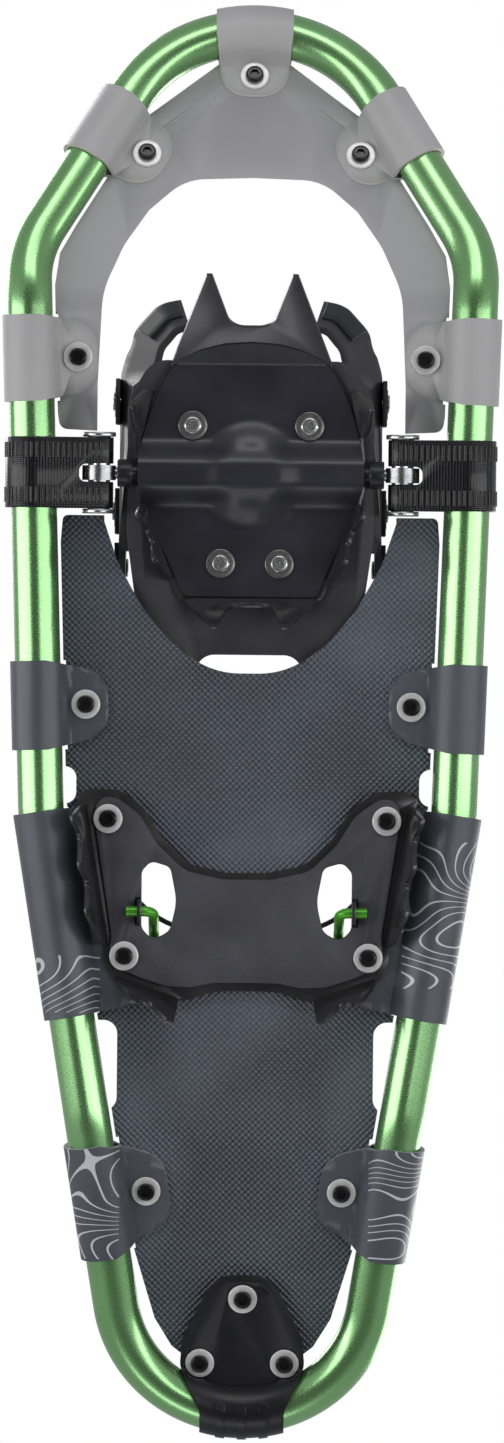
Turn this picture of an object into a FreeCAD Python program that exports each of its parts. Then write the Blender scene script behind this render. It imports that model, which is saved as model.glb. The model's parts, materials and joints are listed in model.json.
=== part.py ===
import FreeCAD, Part
import math
import os

# Snowshoe for the right foot: tube frame, two decks, a binding that pivots on the toe axle with its
# crampon, a heel crampon and a flip-up heel lift.
# Millimetres. +Z up, nose towards -Y, the wearer's right towards -X. The origin is under the middle of
# the snowshoe, at the level of the crampon tips. One STEP file per piece goes to parts/.

os.makedirs("parts", exist_ok=True)
V = FreeCAD.Vector
EX, EY, EZ = V(1, 0, 0), V(0, 1, 0), V(0, 0, 1)

# ---------------------------------------------------------------- driving dimensions
axle_z = 28.0            # height of the tube centre and of the axle over the crampon tips
axle_y = -108.2          # the binding turns here
play = 0.3               # clearance between soft sheet and tube

# frame tube, from the nose backwards
tube_r = 10.0
tube_wall = 1.5
nose_tip_y = -303.5      # tube centre at the nose
nose_r = 64.0            # bend of the tip
nose_turn = 60.0         # degrees of that bend
nose_straight = 71.4
shoulder_r = 50.0
rail_turn = 91.7         # heading of the rails, degrees from +X
nose_tilt = 22.0         # upturn of the nose
nose_lift_r = 30.0       # radius of the upturn bend
flank_y = 42.0           # where the rails start to close in
flank_r = 80.0
flank_heading = 99.2
tail_lift_y = 170.0      # where the tail starts to rise
tail_lift_r = 60.0
tail_tilt = 12.0
tail_tip_y = 303.1       # tube centre at the tail
tail_gap = 0.6           # between the tube's two ends
ferrule_length = 50.0
ferrule_wall = 1.5
ferrule_play = 0.1

# decks
sheet_t = 1.8
deck_lift = 4.0          # deck middle over the tube centre
nose_deck_end_y = -127.4
nose_opening_half = 67.4
nose_opening_reach = 64.8 # from the tube centre at the nose back to the toe opening
rear_deck_start_y = -89.7
heel_notch_half = 63.9   # half width of the toe opening in the rear deck
front_relief_length = 16.2   # cut-outs beside the tube, before and behind the side wraps
front_relief_depth = 5.4
rear_relief_depth = 3.5
relief_gap = 0.6         # from the rear cut-out to the side wrap
tail_relief = 3.8        # the deck's edge stands off the tail bend by this

# fasteners
screw_r = 2.4
screw_play = 0.2
washer_r = 6.4
washer_t = 1.2
head_r = 3.9
head_t = 2.4
nut_r = 5.5
nut_t = 1.4
clip_screw_x = 18.6
clip_washer_gap = 0.7    # between the clip's washers and the tube

# axle, pins and webbing
axle_r = 2.5
pin_x = 66.4
pin_r = 4.8
pin_head_r = 7.3
pin_head_t = 2.0
pin_play = 0.3           # between the belt's edges and the pin's heads
webbing_width = 31.0
webbing_t = 1.5
belt_play = 0.8          # the belt runs straight across a rail that toes in
webbing_slot = 8.0
webbing_slot_end_x = 75.2
eye_r = 7.4
eye_width = 6.4

# binding
axle_play = 0.05
bush_wall = 1.45
bush_flange_r = 6.05
bush_flange_in, bush_flange_out = 52.0, 58.4
cover_t = 1.6
cover_play = 0.05
crampon_t = 2.0
footplate_t = 3.0
footplate_front_y = -158.0
footplate_rear_y = 4.0

# heel unit
heel_cover_t = 2.6
heel_crampon_t = 2.0
heel_pad_t = 3.0
bail_r = 2.25
bail_y = 83.5
bail_leg_x = 40.6
bail_stub_x = 52.7
bail_reach = 50.0

# sizes that follow from the above
screw_hole_r = screw_r + screw_play
bush_bore_r = axle_r + axle_play
bush_sleeve_r = bush_bore_r + bush_wall
deck_z = axle_z + deck_lift
deck_low, deck_top = deck_z - sheet_t / 2, deck_z + sheet_t / 2
tunnel_r = bush_sleeve_r + cover_play
cover_top = axle_z + tunnel_r
crampon_top = cover_top + crampon_t
footplate_top = crampon_top + footplate_t


# ---------------------------------------------------------------- general helpers
def rad(a):
    return math.radians(a)


def wire(points, place=lambda x, y: V(x, y, 0)):
    """Closed wire through (x, y) corners; a third number rounds that corner to that radius."""
    corners = [(p[0], p[1], p[2] if len(p) > 2 else 0.0) for p in points]
    n = len(corners)
    stops = []
    for i, (x, y, r) in enumerate(corners):
        here = V(x, y, 0)
        if r <= 0:
            stops.append((here, None, here))
            continue
        back = (V(*corners[i - 1][:2], 0) - here).normalize()
        ahead = (V(*corners[(i + 1) % n][:2], 0) - here).normalize()
        half = back.getAngle(ahead) / 2
        reach = r / math.tan(half)
        bisector = (back + ahead).normalize()
        middle = here + bisector * (r / math.sin(half) - r)
        stops.append((here + back * reach, middle, here + ahead * reach))
    edges = []
    for i, (start, middle, end) in enumerate(stops):
        if middle is not None:
            edges.append(Part.Arc(*[place(p.x, p.y) for p in (start, middle, end)]).toShape())
        following = stops[(i + 1) % n][0]
        if (following - end).Length > 1e-6:
            edges.append(Part.LineSegment(place(end.x, end.y), place(following.x, following.y)).toShape())
    return Part.Wire(edges)


def plate(points, low, high, holes=()):
    """Flat plate between two heights, with the outline points and holes (x, y, radius)."""
    solid = Part.Face(wire(points)).extrude(V(0, 0, high - low))
    solid.translate(V(0, 0, low))
    for x, y, r in holes:
        solid = solid.cut(Part.makeCylinder(r, high - low + 40, V(x, y, low - 20)))
    return solid


def along_x(points, x0, x1):
    """Prism over a (y, z) outline."""
    return Part.Face(wire(points, lambda y, z: V(x0, y, z))).extrude(V(x1 - x0, 0, 0))


def along_y(points, y0, y1):
    """Prism over an (x, z) outline."""
    return Part.Face(wire(points, lambda x, z: V(x, y0, z))).extrude(V(0, y1 - y0, 0))


def mirrored(points):
    """Right-hand half outline, from the nose side to the tail side, closed by its mirror image."""
    return list(points) + [(-p[0], *p[1:]) for p in reversed(points) if abs(p[0]) > 1e-9]


def flip(shape):
    return shape.mirror(V(0, 0, 0), EX)


def both(shape):
    return [shape, flip(shape)]


def rod(x0, x1, r, y=axle_y, z=axle_z):
    return Part.makeCylinder(r, x1 - x0, V(x0, y, z), EX)


def one(shape):
    """A boolean's result as plain solids, refined."""
    return Part.makeCompound(shape.removeSplitter().Solids)


def save(name, *shapes):
    solids = [s for shape in shapes for s in shape.Solids]
    for s in solids:
        if not s.isValid() or s.Volume < 0.5:
            print("  check", name, s.isValid(), round(s.Volume, 2))
    Part.makeCompound(solids).exportStep("parts/" + name + ".step")
    print(f"{name:24s} {len(solids):3d} solids {sum(s.Volume for s in solids) / 1000:9.2f} cm3")


# ---------------------------------------------------------------- frame path
class Path:
    """Lines and arcs laid end to end, for the right-hand half of the frame tube."""

    def __init__(self, start, heading):
        self.at, self.heading, self.pieces = start, heading, []

    def line(self, length):
        end = self.at + self.heading * length
        self.pieces.append(("line", self.at, self.heading, length, None))
        self.at = end

    def arc(self, radius, degrees, axis):
        centre = self.at + axis.cross(self.heading) * radius
        self.pieces.append(("arc", self.at, self.heading, degrees, (centre, axis, radius)))
        turn = FreeCAD.Rotation(axis, degrees)
        self.at = centre + turn.multVec(self.at - centre)
        self.heading = turn.multVec(self.heading)

    def places(self, step=0.5):
        """(point, heading) every half millimetre or so."""
        for kind, start, heading, amount, round_it in self.pieces:
            length = amount if kind == "line" else rad(amount) * round_it[2]
            count = max(2, int(length / step))
            for i in range(count):
                if kind == "line":
                    yield start + heading * (amount * i / count), heading
                else:
                    turn = FreeCAD.Rotation(round_it[1], amount * i / count)
                    yield round_it[0] + turn.multVec(start - round_it[0]), turn.multVec(heading)

    def station(self, y):
        return min(self.places(), key=lambda place: abs(place[0].y - y))

    def pipe(self, outer, inner=0.0):
        """The half tube as one solid of true cylinders and tori."""
        parts = []
        for kind, start, heading, amount, round_it in self.pieces:
            rings = [Part.Wire(Part.Circle(start, heading, r).toShape()) for r in (outer, inner) if r > 0]
            face = Part.Face(rings[0])
            if inner > 0:
                face = face.cut(Part.Face(rings[1]))
            if kind == "line":
                parts.append(face.extrude(heading * amount))
            else:
                parts.append(face.revolve(round_it[0], round_it[1], amount))
        return parts[0].fuse(parts[1:])


def slope_normal(tilt):
    """Up-normal of a plane that falls towards +Y by tilt degrees."""
    return V(0, math.sin(rad(tilt)), math.cos(rad(tilt)))


def nose_path(tip_z):
    """Nose bend, nose straight, shoulder and the bend down to the level rails."""
    up = slope_normal(nose_tilt)
    path = Path(V(0, nose_tip_y, tip_z), EX)
    path.arc(nose_r, nose_turn, up)
    path.line(nose_straight)
    path.arc(shoulder_r, rail_turn - nose_turn, up)
    pitch = math.degrees(math.asin(-path.heading.z))
    path.arc(nose_lift_r, pitch, path.heading.cross(EZ).normalize())
    return path


def frame_path():
    path = nose_path(axle_z - nose_path(0.0).at.z)
    path.line((flank_y - flank_r * 0.065 - path.at.y) / path.heading.y)
    heading = math.degrees(math.atan2(path.heading.y, path.heading.x))
    path.arc(flank_r, flank_heading - heading, EZ)
    path.line((tail_lift_y - path.at.y) / path.heading.y)
    path.arc(tail_lift_r, tail_tilt, path.heading.cross(EZ).normalize())
    # the straight and the radius of the last bend that bring the tube to the middle line at the tail tip
    lean = math.atan2(-path.heading.x, math.hypot(path.heading.y, path.heading.z))
    turn = 90 - math.degrees(lean)
    slope = slope_normal(-tail_tilt)
    across = (tail_tip_y - path.at.y) / math.cos(rad(tail_tilt))
    a, b = math.sin(lean), math.cos(lean)
    straight = (across * b - path.at.x * (1 - a)) / (b * b - a * (1 - a))
    radius = (path.at.x - straight * a) / b
    path.line(straight)
    path.arc(radius, turn, slope)
    return path


path = frame_path()
nose_up, tail_up = slope_normal(nose_tilt), slope_normal(-tail_tilt)


def side_line(offset):
    """Corner points (y, z) of the frame's side profile, moved up by offset across the profile."""
    bend_y = path.pieces[4][1].y
    nose = rad(nose_tilt)
    tail = rad(tail_tilt)
    z = axle_z + offset
    front = bend_y - (nose_lift_r - offset) * math.tan(nose / 2)
    rear = tail_lift_y + (tail_lift_r - offset) * math.tan(tail / 2)
    far = 400.0
    return [
        (front - far, z + far * math.tan(nose)),
        (front, z, nose_lift_r - offset),
        (rear, z, tail_lift_r - offset),
        (rear + far, z + far * math.tan(tail)),
    ]


def slab(low, high, half=140.0):
    """Everything between two offsets from the frame's side profile, half millimetres each way in X."""
    return along_x(side_line(low) + list(reversed(side_line(high))), -half, half)


# ---------------------------------------------------------------- frame
def strip(points, t):
    """Outline of a strip t thick that follows the points, thickness to the left of the way they run."""
    pts = [(p[0], p[1], p[2] if len(p) > 2 else 0.0) for p in points]
    left = []
    for i, (x, y, r) in enumerate(pts):
        normals = []
        for a, b in ((i - 1, i), (i, i + 1)):
            if a >= 0 and b < len(pts):
                dx, dy = pts[b][0] - pts[a][0], pts[b][1] - pts[a][1]
                length = math.hypot(dx, dy)
                normals.append((-dy / length, dx / length))
        nx = sum(n[0] for n in normals)
        ny = sum(n[1] for n in normals)
        size = math.hypot(nx, ny)
        reach = t if len(normals) == 1 else t / (size / 2)
        turn = 0.0
        if len(normals) == 2:
            turn = normals[0][0] * normals[1][1] - normals[0][1] * normals[1][0]
        grown = max(r - t, 0.0) if turn > 0 else (r + t if r > 0 else 0.0)
        left.append((x + nx / size * reach, y + ny / size * reach, grown))
    return pts + list(reversed(left))


half_tube = path.pipe(tube_r, tube_r - tube_wall)
end_cut = Part.makeBox(tail_gap, 60, 60, V(-tail_gap / 2, tail_tip_y - 30, 20))
save("frame_tube", one(half_tube.fuse(flip(half_tube)).cut(end_cut)))

tail_arc = path.pieces[-1]
tail_r = tail_arc[4][2]
tail_centre = tail_arc[4][0]
tail_end = path.at


def tail_ring(r, half):
    """Solid ring piece about the tail bend, round section r, out to half millimetres each side."""
    circle = Part.Wire(Part.Circle(V(0, tail_end.y, tail_end.z), EX, r).toShape())
    centre = V(0, tail_centre.y, tail_centre.z)
    face = Part.Face(circle).rotated(centre, tail_up, -60)
    ring = face.revolve(centre, tail_up, 120)
    window = Part.makeBox(2 * half, 200, 200, V(-half, tail_end.y - 150, -60))
    return ring.common(window)


ferrule_r = tube_r - tube_wall - ferrule_play
ferrule = tail_ring(ferrule_r, ferrule_length / 2).cut(tail_ring(ferrule_r - ferrule_wall, ferrule_length))
save("tail_ferrule", ferrule)


# ---------------------------------------------------------------- decks
def place_on(origin, side, heading, up):
    """Placement with local x = side (inwards), y = heading along the tube, z = up."""
    m = FreeCAD.Matrix(side.x, heading.x, up.x, origin.x, side.y, heading.y, up.y, origin.y,
                       side.z, heading.z, up.z, origin.z, 0, 0, 0, 1)
    return FreeCAD.Placement(m)


class Tab:
    """A deck tab that wraps the tube: local x inwards from the tube centre, y along it, z up."""

    def __init__(self, y, width, end_width, reach, screw, up=EZ):
        self.width, self.end_width = width, end_width
        self.reach, self.screw = tube_r + reach, tube_r + screw
        self.bend = nose_r if y is None else None
        if y is None:
            at, heading = path.pieces[0][1], EX
        else:
            at, heading = path.station(y)
        heading = (heading - up * heading.dot(up)).normalize()
        side = up.cross(heading).normalize()
        self.place = place_on(at, side, up.cross(side), up)

    def section(self, grow):
        """Closed (x, z) edge of the band's cut; grow 0 is the inner face, sheet_t the outer."""
        low = deck_lift - sheet_t / 2
        apex = V(self.reach_pinch(), 0, low)
        r = tube_r + play
        length = math.hypot(apex.x, apex.z)
        lean, open_angle = math.atan2(apex.z, apex.x), math.acos(r / length)
        stops = []
        for sign, level in ((1, low + grow), (-1, low - grow)):
            a = lean + sign * open_angle
            on = V(math.cos(a), 0, math.sin(a)) * (r + grow)
            along = V(math.sin(a), 0, -math.cos(a)) * sign
            foot = on + along * ((level - on.z) / along.z)
            stops.append((on, foot))
        (top, top_foot), (under, under_foot) = stops
        edges = [Part.LineSegment(top_foot, top).toShape()]
        edges.append(Part.Arc(top, V(-(r + grow), 0, 0), under).toShape())
        edges.append(Part.LineSegment(under, under_foot).toShape())
        if grow > 0:
            end = self.reach + 1
            low_end, high_end = V(end, 0, under_foot.z), V(end, 0, top_foot.z)
            edges.append(Part.LineSegment(under_foot, low_end).toShape())
            edges.append(Part.LineSegment(low_end, high_end).toShape())
            edges.append(Part.LineSegment(high_end, top_foot).toShape())
        return Part.Face(Part.Wire(edges))

    def reach_pinch(self):
        return tube_r + 2.3

    def outline(self):
        w, e, r = self.width / 2, self.end_width / 2, min(self.end_width / 2 * 0.92, 14)
        pts = [(-40, -w), (4, -w), (self.reach, -e, r), (self.reach, e, r), (4, w), (-40, w)]
        return plate(pts, -60, 60)

    def along(self, face, span):
        """The section carried along the tube, round the nose bend where the tab sits on it."""
        if self.bend is None:
            solid = face.extrude(V(0, span, 0))
            solid.translate(V(0, -span / 2, 0))
            return solid
        turn = math.degrees(span / (self.bend - tube_r))
        return face.rotated(V(self.bend, 0, 0), EZ, -turn / 2).revolve(V(self.bend, 0, 0), EZ, turn)

    def band(self):
        solid = self.along(self.section(sheet_t).cut(self.section(0)), self.width + 2)
        solid = solid.common(self.outline())
        solid.Placement = self.place
        return solid

    def clearance(self):
        """The room inside and above the band, cut out of the flat sheet."""
        solid = self.along(self.section(sheet_t), self.width)
        solid = solid.common(Part.makeBox(self.reach_pinch() + 40, 400, 200, V(-40, -200, -60)))
        solid.Placement = self.place
        return solid

    def screw_place(self):
        return self.place.multiply(FreeCAD.Placement(V(self.screw, 0, 0), FreeCAD.Rotation()))


def middle_y(index):
    """Y of the middle of a straight run of the frame path."""
    kind, start, heading, length, bend = path.pieces[index]
    return (start + heading * (length / 2)).y


rail_start_y = path.pieces[4][1].y
nose_top_tab = Tab(None, 34, 27, 19.5, 10.6, nose_up)
nose_diag_tab = Tab(middle_y(1) - 13.6, 34, 27, 19.5, 10.6, nose_up)
nose_side_tab = Tab(rail_start_y + 22.6, 38, 28, 19.5, 10.6)
mid_tab = Tab(axle_y + 102.2, 39, 27, 20.5, 10.6)
side_wrap_y = bail_y + 1.7
side_wrap = Tab(side_wrap_y, 91, 88, 26.0, 10.0)
rear_tab = Tab(tail_lift_y + 39.5, 51, 28, 20.5, 10.6, tail_up)


def frame_inside(margin):
    """(x, y) half outline a margin inside the tube's inner edge, nose to tail."""
    points = []
    last = None
    for at, heading in path.places(0.5):
        flat = V(heading.x, heading.y, 0).normalize()
        inner = V(at.x, at.y, 0) + V(-flat.y, flat.x, 0) * (tube_r + margin)
        if inner.x < 0:
            continue
        if last is None or (inner - last).Length > 14:
            points.append((inner.x, inner.y))
            last = inner
    return points


def clip_half(points, y0, y1):
    return [p for p in points if y0 < p[1] < y1]


nose_opening_tip_y = nose_tip_y + nose_opening_reach
nose_hole = [(0, nose_opening_tip_y), (30, nose_opening_tip_y + 1, 24), (45.7, nose_opening_tip_y + 14.7),
             (56.5, nose_opening_tip_y + 30.2, 30), (65.6, nose_opening_tip_y + 50.7, 40),
             (nose_opening_half, nose_deck_end_y - 20.5, 60), (nose_opening_half, nose_deck_end_y + 20)]
inside = frame_inside(1.2)
nose_side = clip_half(inside, nose_tip_y + 11.5, nose_deck_end_y + 3)
# between the top and the slanted tabs the edge is straight, and leaves a sliver open beside the tube
nose_chord_start, nose_chord_end = nose_r * 0.29, nose_r * 0.72
nose_edge = [(0, nose_side[0][1] - 0.3)]
nose_edge += [p for p in nose_side if 6 < p[0] and not nose_chord_start < p[0] < nose_chord_end]
nose_edge += [(path.station(nose_deck_end_y)[0].x - 12, nose_deck_end_y, 4)]
nose_edge += [(nose_opening_half + 1.5, nose_deck_end_y + 0.7, 4)]


def drill(tabs_screws, shape, r):
    for place in tabs_screws:
        hole = Part.makeCylinder(r, 60, V(0, 0, -30))
        hole.Placement = place
        shape = shape.cut(hole)
    return shape


def mirror_place(place):
    """The same screw on the left side."""
    m = place.toMatrix()
    o = V(-m.A14, m.A24, m.A34)
    z = V(-m.A13, m.A23, m.A33)
    x = V(-m.A11, m.A21, m.A31)
    return place_on(o, x, z.cross(x), z)


def sheet(outline_wire, holes, tabs, screws):
    flat = Part.Face(outline_wire).extrude(V(0, 0, 200))
    flat.translate(V(0, 0, -30))
    body = flat.common(slab(deck_lift - sheet_t / 2, deck_lift + sheet_t / 2))
    for hole in holes:
        body = body.cut(hole)
    for tab in tabs:
        for cut in both(tab.clearance()):
            body = body.cut(cut)
    bands = [b for tab in tabs for b in both(tab.band())]
    body = body.fuse(bands)
    return one(drill(screws, body, screw_hole_r))


def pair(place):
    return [place, mirror_place(place)]


nose_screws = [nose_top_tab.screw_place()] + pair(nose_diag_tab.screw_place())
nose_screws += pair(nose_side_tab.screw_place())
opening = plate(mirrored(nose_hole), -30, 170)
nose_outline = wire(mirrored(nose_edge))
nose_deck = sheet(nose_outline, [opening], [nose_top_tab, nose_diag_tab, nose_side_tab], nose_screws)
save("nose_deck", nose_deck)

# rear deck: toe opening, heel slots, tail
tail_inside = clip_half(inside, rear_deck_start_y + 3, tail_tip_y - 66)
tail_inside += clip_half(frame_inside(1.2 + tail_relief), tail_tip_y - 54, tail_tip_y - 11.1 - tail_relief)
notch = [(heel_notch_half, rear_deck_start_y), (heel_notch_half, -87), (57.8, -69, 40), (47.3, -50, 40),
         (35, -34.8, 40), (23.5, -26.2, 40), (12, -21.0, 36)]
rear_edge = [(path.station(rear_deck_start_y)[0].x - 12.5, rear_deck_start_y, 2.5)]
rear_edge += [p for p in tail_inside if p[0] > 6] + [(0, tail_inside[-1][1] + 0.3)]
left_notch = [(-p[0], *p[1:]) for p in notch]
loop = [(p[0], *p[1:]) for p in rear_edge] + [(-p[0], *p[1:]) for p in reversed(rear_edge[:-1])]
loop += left_notch + list(reversed(notch))


def relief(y0, y1, x, r):
    """Rounded cut-out beside the tube, on both sides."""
    return both(plate([(x, y0, r), (x + 60, y0), (x + 60, y1), (x, y1, r)], -30, 170))


relief_end_y = side_wrap_y - side_wrap.width / 2 - 3.1
relief_x = path.station(relief_end_y)[0].x - tube_r - front_relief_depth
reliefs = relief(relief_end_y - front_relief_length, relief_end_y, relief_x, 5)
relief_start_y = side_wrap_y + side_wrap.width / 2 + relief_gap
relief_x = path.station(tail_lift_y)[0].x - tube_r - rear_relief_depth
reliefs += relief(relief_start_y, tail_lift_y + 1, relief_x, 6)


def from_bail(points):
    """Outline points given from the lift's pivot line."""
    return [(p[0], bail_y + p[1], *p[2:]) for p in points]


heel_screw_spots = [(61.0, bail_y - 40.4), (53.4, bail_y + 19.6)]
slot_outline = from_bail([
    (33.5, -19.5, 4), (42, -22, 4), (46, -17.5, 4), (46, 7.5, 5), (41, 12.7, 5), (33.5, 8.5, 6),
    (30.6, -4.5, 20)])
slots = [s for s in both(plate(slot_outline, -30, 170))]


def upright(x, y):
    return FreeCAD.Placement(V(x, y, axle_z), FreeCAD.Rotation())


def tail_place(x, y):
    """Placement on the tail plane at plan position (x, y), z along the plane's normal."""
    along = V(0, math.cos(rad(tail_tilt)), math.sin(rad(tail_tilt)))
    reach = (y - tail_end.y) / along.y
    return place_on(tail_end + V(x, 0, 0) + along * reach, along.cross(tail_up), along, tail_up)


clip_ring = tail_r - tube_r - washer_r - clip_washer_gap
clip_screw_y = tail_centre.y + math.sqrt(clip_ring ** 2 - clip_screw_x ** 2) * math.cos(rad(tail_tilt))
clip_screws = [tail_place(0, tail_tip_y - 49.8)]
clip_screws += [tail_place(x, clip_screw_y) for x in (clip_screw_x, -clip_screw_x)]
heel_screws = [upright(sign * x, y) for x, y in heel_screw_spots for sign in (1, -1)]
tab_screws = pair(mid_tab.screw_place()) + pair(rear_tab.screw_place())
deck_drill = tab_screws + clip_screws + heel_screws
rear_deck = sheet(wire(loop), slots + reliefs, [mid_tab, side_wrap, rear_tab], deck_drill)
save("rear_deck", rear_deck)


# ---------------------------------------------------------------- tail clip
clip_t = 3.0
grip_t = 1.6
rib_t = 0.6
clip_grip_half = 18.5
clip_outline = [(p[0], tail_tip_y + p[1], *p[2:]) for p in (
    (0, -60.4), (9.0, -59.6, 6), (15.5, -54.1, 8), (26.2, -33.1, 10), (27.4, -20.1, 10),
    (clip_grip_half, -0.1, 6), (clip_grip_half, 26.9))]
clip_middle_y = tail_tip_y - 26.1
clip_prism = plate(mirrored(clip_outline), -20, 160)
clip_plates = slab(deck_lift - sheet_t / 2 - clip_t, deck_lift + sheet_t / 2 + clip_t)
clip_plates = clip_plates.cut(slab(deck_lift - sheet_t / 2, deck_lift + sheet_t / 2))
past_tube = plate([(-60, tail_end.y), (60, tail_end.y), (60, 400), (-60, 400)], -20, 160)
clip_plates = clip_plates.common(clip_prism).cut(past_tube)
clip_grip = tail_ring(tube_r + play + grip_t, 40).common(clip_prism)
clip_ribs = [tail_ring(tube_r + play + grip_t + rib_t, 60).common(
    Part.makeBox(4.0, 40, 120, V(x - 2.0, tail_end.y - 4, -20))) for x in (-9.6, 0, 9.6)]
rim_share_x, rim_share_y = 0.86, 0.9   # the rim's inner edge, as shares of the clip's outline
rim_inside = [(p[0] * rim_share_x, (p[1] - clip_middle_y) * rim_share_y + clip_middle_y, *p[2:])
              for p in mirrored(clip_outline)]
clip_rim = clip_prism.cut(plate(rim_inside, -30, 170))
clip_rim = clip_rim.common(slab(deck_lift - sheet_t / 2 - clip_t - 1.2, deck_lift - sheet_t / 2 - clip_t))
clip_rim = clip_rim.cut(past_tube)
tail_clip = clip_plates.fuse([clip_grip, clip_rim] + clip_ribs).cut(tail_ring(tube_r + play, 60))
tail_clip = tail_clip.cut(slab(deck_lift - sheet_t / 2, deck_lift + sheet_t / 2).cut(past_tube))
recess = Part.makeCylinder(washer_r + 0.4, 30, V(0, 0, deck_lift - sheet_t / 2 - clip_t - 30))
for place in clip_screws:
    room = recess.copy()
    room.Placement = place
    tail_clip = tail_clip.cut(room)
save("tail_clip", one(drill(clip_screws, tail_clip, screw_hole_r)))


# ---------------------------------------------------------------- screws
class Stack:
    """Screw, washer and nut through a joint; z is measured from the place's origin along its axis."""

    def __init__(self, low, high, places):
        self.low, self.high, self.places = low, high, places

    def spread(self, solid):
        out = []
        for place in self.places:
            copy = solid.copy()
            copy.Placement = place
            out.append(copy)
        return out

    def washers(self):
        ring = Part.makeCylinder(washer_r, washer_t, V(0, 0, self.low - washer_t))
        return self.spread(ring.cut(Part.makeCylinder(screw_hole_r, 90, V(0, 0, -45))))

    def screws(self):
        under = self.low - washer_t
        head = Part.makeCylinder(head_r, head_t, V(0, 0, under - head_t))
        rim = [e for e in head.Edges if e.Vertexes[0].Z < under - 0.5 and e.Vertexes[-1].Z < under - 0.5]
        head = head.makeFillet(0.8, rim[:1])
        socket = [(2.0 * math.cos(rad(60 * i)), 2.0 * math.sin(rad(60 * i))) for i in range(6)]
        head = head.cut(plate(socket, under - head_t - 1, under - head_t + 1.5))
        shank = Part.makeCylinder(screw_r, self.high + nut_t - under, V(0, 0, under))
        return self.spread(head.fuse(shank))

    def nuts(self):
        ring = Part.makeCylinder(nut_r, nut_t, V(0, 0, self.high))
        return self.spread(ring.cut(Part.makeCylinder(screw_r, 90, V(0, 0, -45))))


offset_low, offset_top = deck_lift - sheet_t / 2, deck_lift + sheet_t / 2
tab_stack = Stack(offset_low - sheet_t, offset_top, nose_screws + tab_screws)
clip_stack = Stack(offset_low - clip_t, offset_top + clip_t, clip_screws)
plate_stack_low = offset_low - sheet_t - heel_crampon_t - heel_cover_t
heel_stack = Stack(plate_stack_low, offset_top + heel_pad_t, heel_screws)
for stack, name in ((tab_stack, "deck"), (clip_stack, "clip"), (heel_stack, "heel")):
    save(name + "_screws", *stack.screws())
    save(name + "_washers", *stack.washers())
    save(name + "_nuts", *stack.nuts())


# ---------------------------------------------------------------- axle, pins and webbing
rail = path.station(axle_y)
rail_x = rail[0].x


def belt(grow, half):
    """Loop round the rail and the pin, its faces grow off them, half wide each way along Y."""
    big, small = tube_r + belt_play + grow, pin_r + 0.02 + grow
    gap = rail_x - pin_x
    a = math.asin((big - small) / gap)
    points = []
    for sign in (1, -1):
        points.append(V(rail_x - big * math.sin(a), 0, sign * big * math.cos(a)))
        points.append(V(pin_x - small * math.sin(a), 0, sign * small * math.cos(a)))
    top, top_in, low, low_in = points
    edges = [
        Part.Arc(top, V(rail_x + big, 0, 0), low).toShape(),
        Part.LineSegment(low, low_in).toShape(),
        Part.Arc(low_in, V(pin_x - small, 0, 0), top_in).toShape(),
        Part.LineSegment(top_in, top).toShape(),
    ]
    solid = Part.Face(Part.Wire(edges)).extrude(V(0, 2 * half, 0))
    solid.translate(V(0, axle_y - half, axle_z))
    return solid


belt_loop = belt(webbing_t, webbing_width / 2).cut(belt(0, webbing_width))
belt_slot = plate([(40, axle_y - webbing_slot / 2), (webbing_slot_end_x, axle_y - webbing_slot / 2, 3),
                   (webbing_slot_end_x, axle_y + webbing_slot / 2, 3), (40, axle_y + webbing_slot / 2)],
                  -20, 80)
belt_loop = belt_loop.cut(belt_slot)
pin_half = webbing_width / 2 + pin_play
right_pin = Part.makeCylinder(pin_r, 2 * pin_half, V(pin_x, axle_y - pin_half, axle_z), EY)
for y in (axle_y - pin_half - pin_head_t, axle_y + pin_half):
    right_pin = right_pin.fuse(Part.makeCylinder(pin_head_r, pin_head_t, V(pin_x, y, axle_z), EY))
save("right_webbing", belt_loop)
save("left_webbing", flip(belt_loop))
save("right_pin", one(right_pin))
save("left_pin", flip(one(right_pin)))
eye = Part.makeCylinder(eye_r, eye_width, V(pin_x, axle_y - eye_width / 2, axle_z), EY)
axle = rod(-pin_x, pin_x, axle_r).fuse(both(eye))
bores = both(Part.makeCylinder(pin_r + 0.02, 60, V(pin_x, axle_y - 30, axle_z), EY))
save("toe_axle", one(axle.cut(Part.makeCompound(bores))))

# ---------------------------------------------------------------- binding: bushes, cover, toe crampon
bush = rod(30, bush_flange_in, bush_sleeve_r).fuse(rod(bush_flange_in, bush_flange_out, bush_flange_r))
bush = bush.cut(rod(0, 80, bush_bore_r))
save("axle_bushes", *both(bush))


def toe(x, y):
    """Plan position given from the axle."""
    return (x, axle_y + y)


toe_half = [(36.0, -49.6, 4), (42.5, -39.0, 5), (49.0, -17.0, 6), (50.0, -6.0), (50.0, 6.0), (48.5, 12.0, 4),
            (31.2, 56.2, 6)]
toe_outline = mirrored([toe(p[0], p[1]) + tuple(p[2:]) for p in toe_half])
cover_spots = [toe(25.6, -21.2), toe(-25.6, -21.2), toe(12.9, 39.2), toe(-12.9, 39.2)]
cover_half = [(33.0, -46.6, 4), (39.6, -37.5, 5), (46.0, -16.5, 6), (47.0, -6.0), (47.0, 6.0),
              (45.3, 11.2, 4), (29.6, 53.6, 5)]
cover_outline = mirrored([toe(p[0], p[1]) + tuple(p[2:]) for p in cover_half])
flat = plate(cover_outline, cover_top - cover_t, cover_top)
dome = Part.makeCone(20.0, 23.0, 3.4, V(0, axle_y, cover_top - cover_t - 3.4))
channel_z = axle_z - tunnel_r - cover_t
channel_foot_z = cover_top - cover_t + 0.2
channel_points = [(axle_y - 11.6, channel_foot_z), (axle_y - 5.2, channel_z, 3), (axle_y + 5.2, channel_z, 3),
                  (axle_y + 11.6, channel_foot_z)]
channel = along_x(channel_points, -bush_flange_in + 0.1, bush_flange_in - 0.1)
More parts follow.
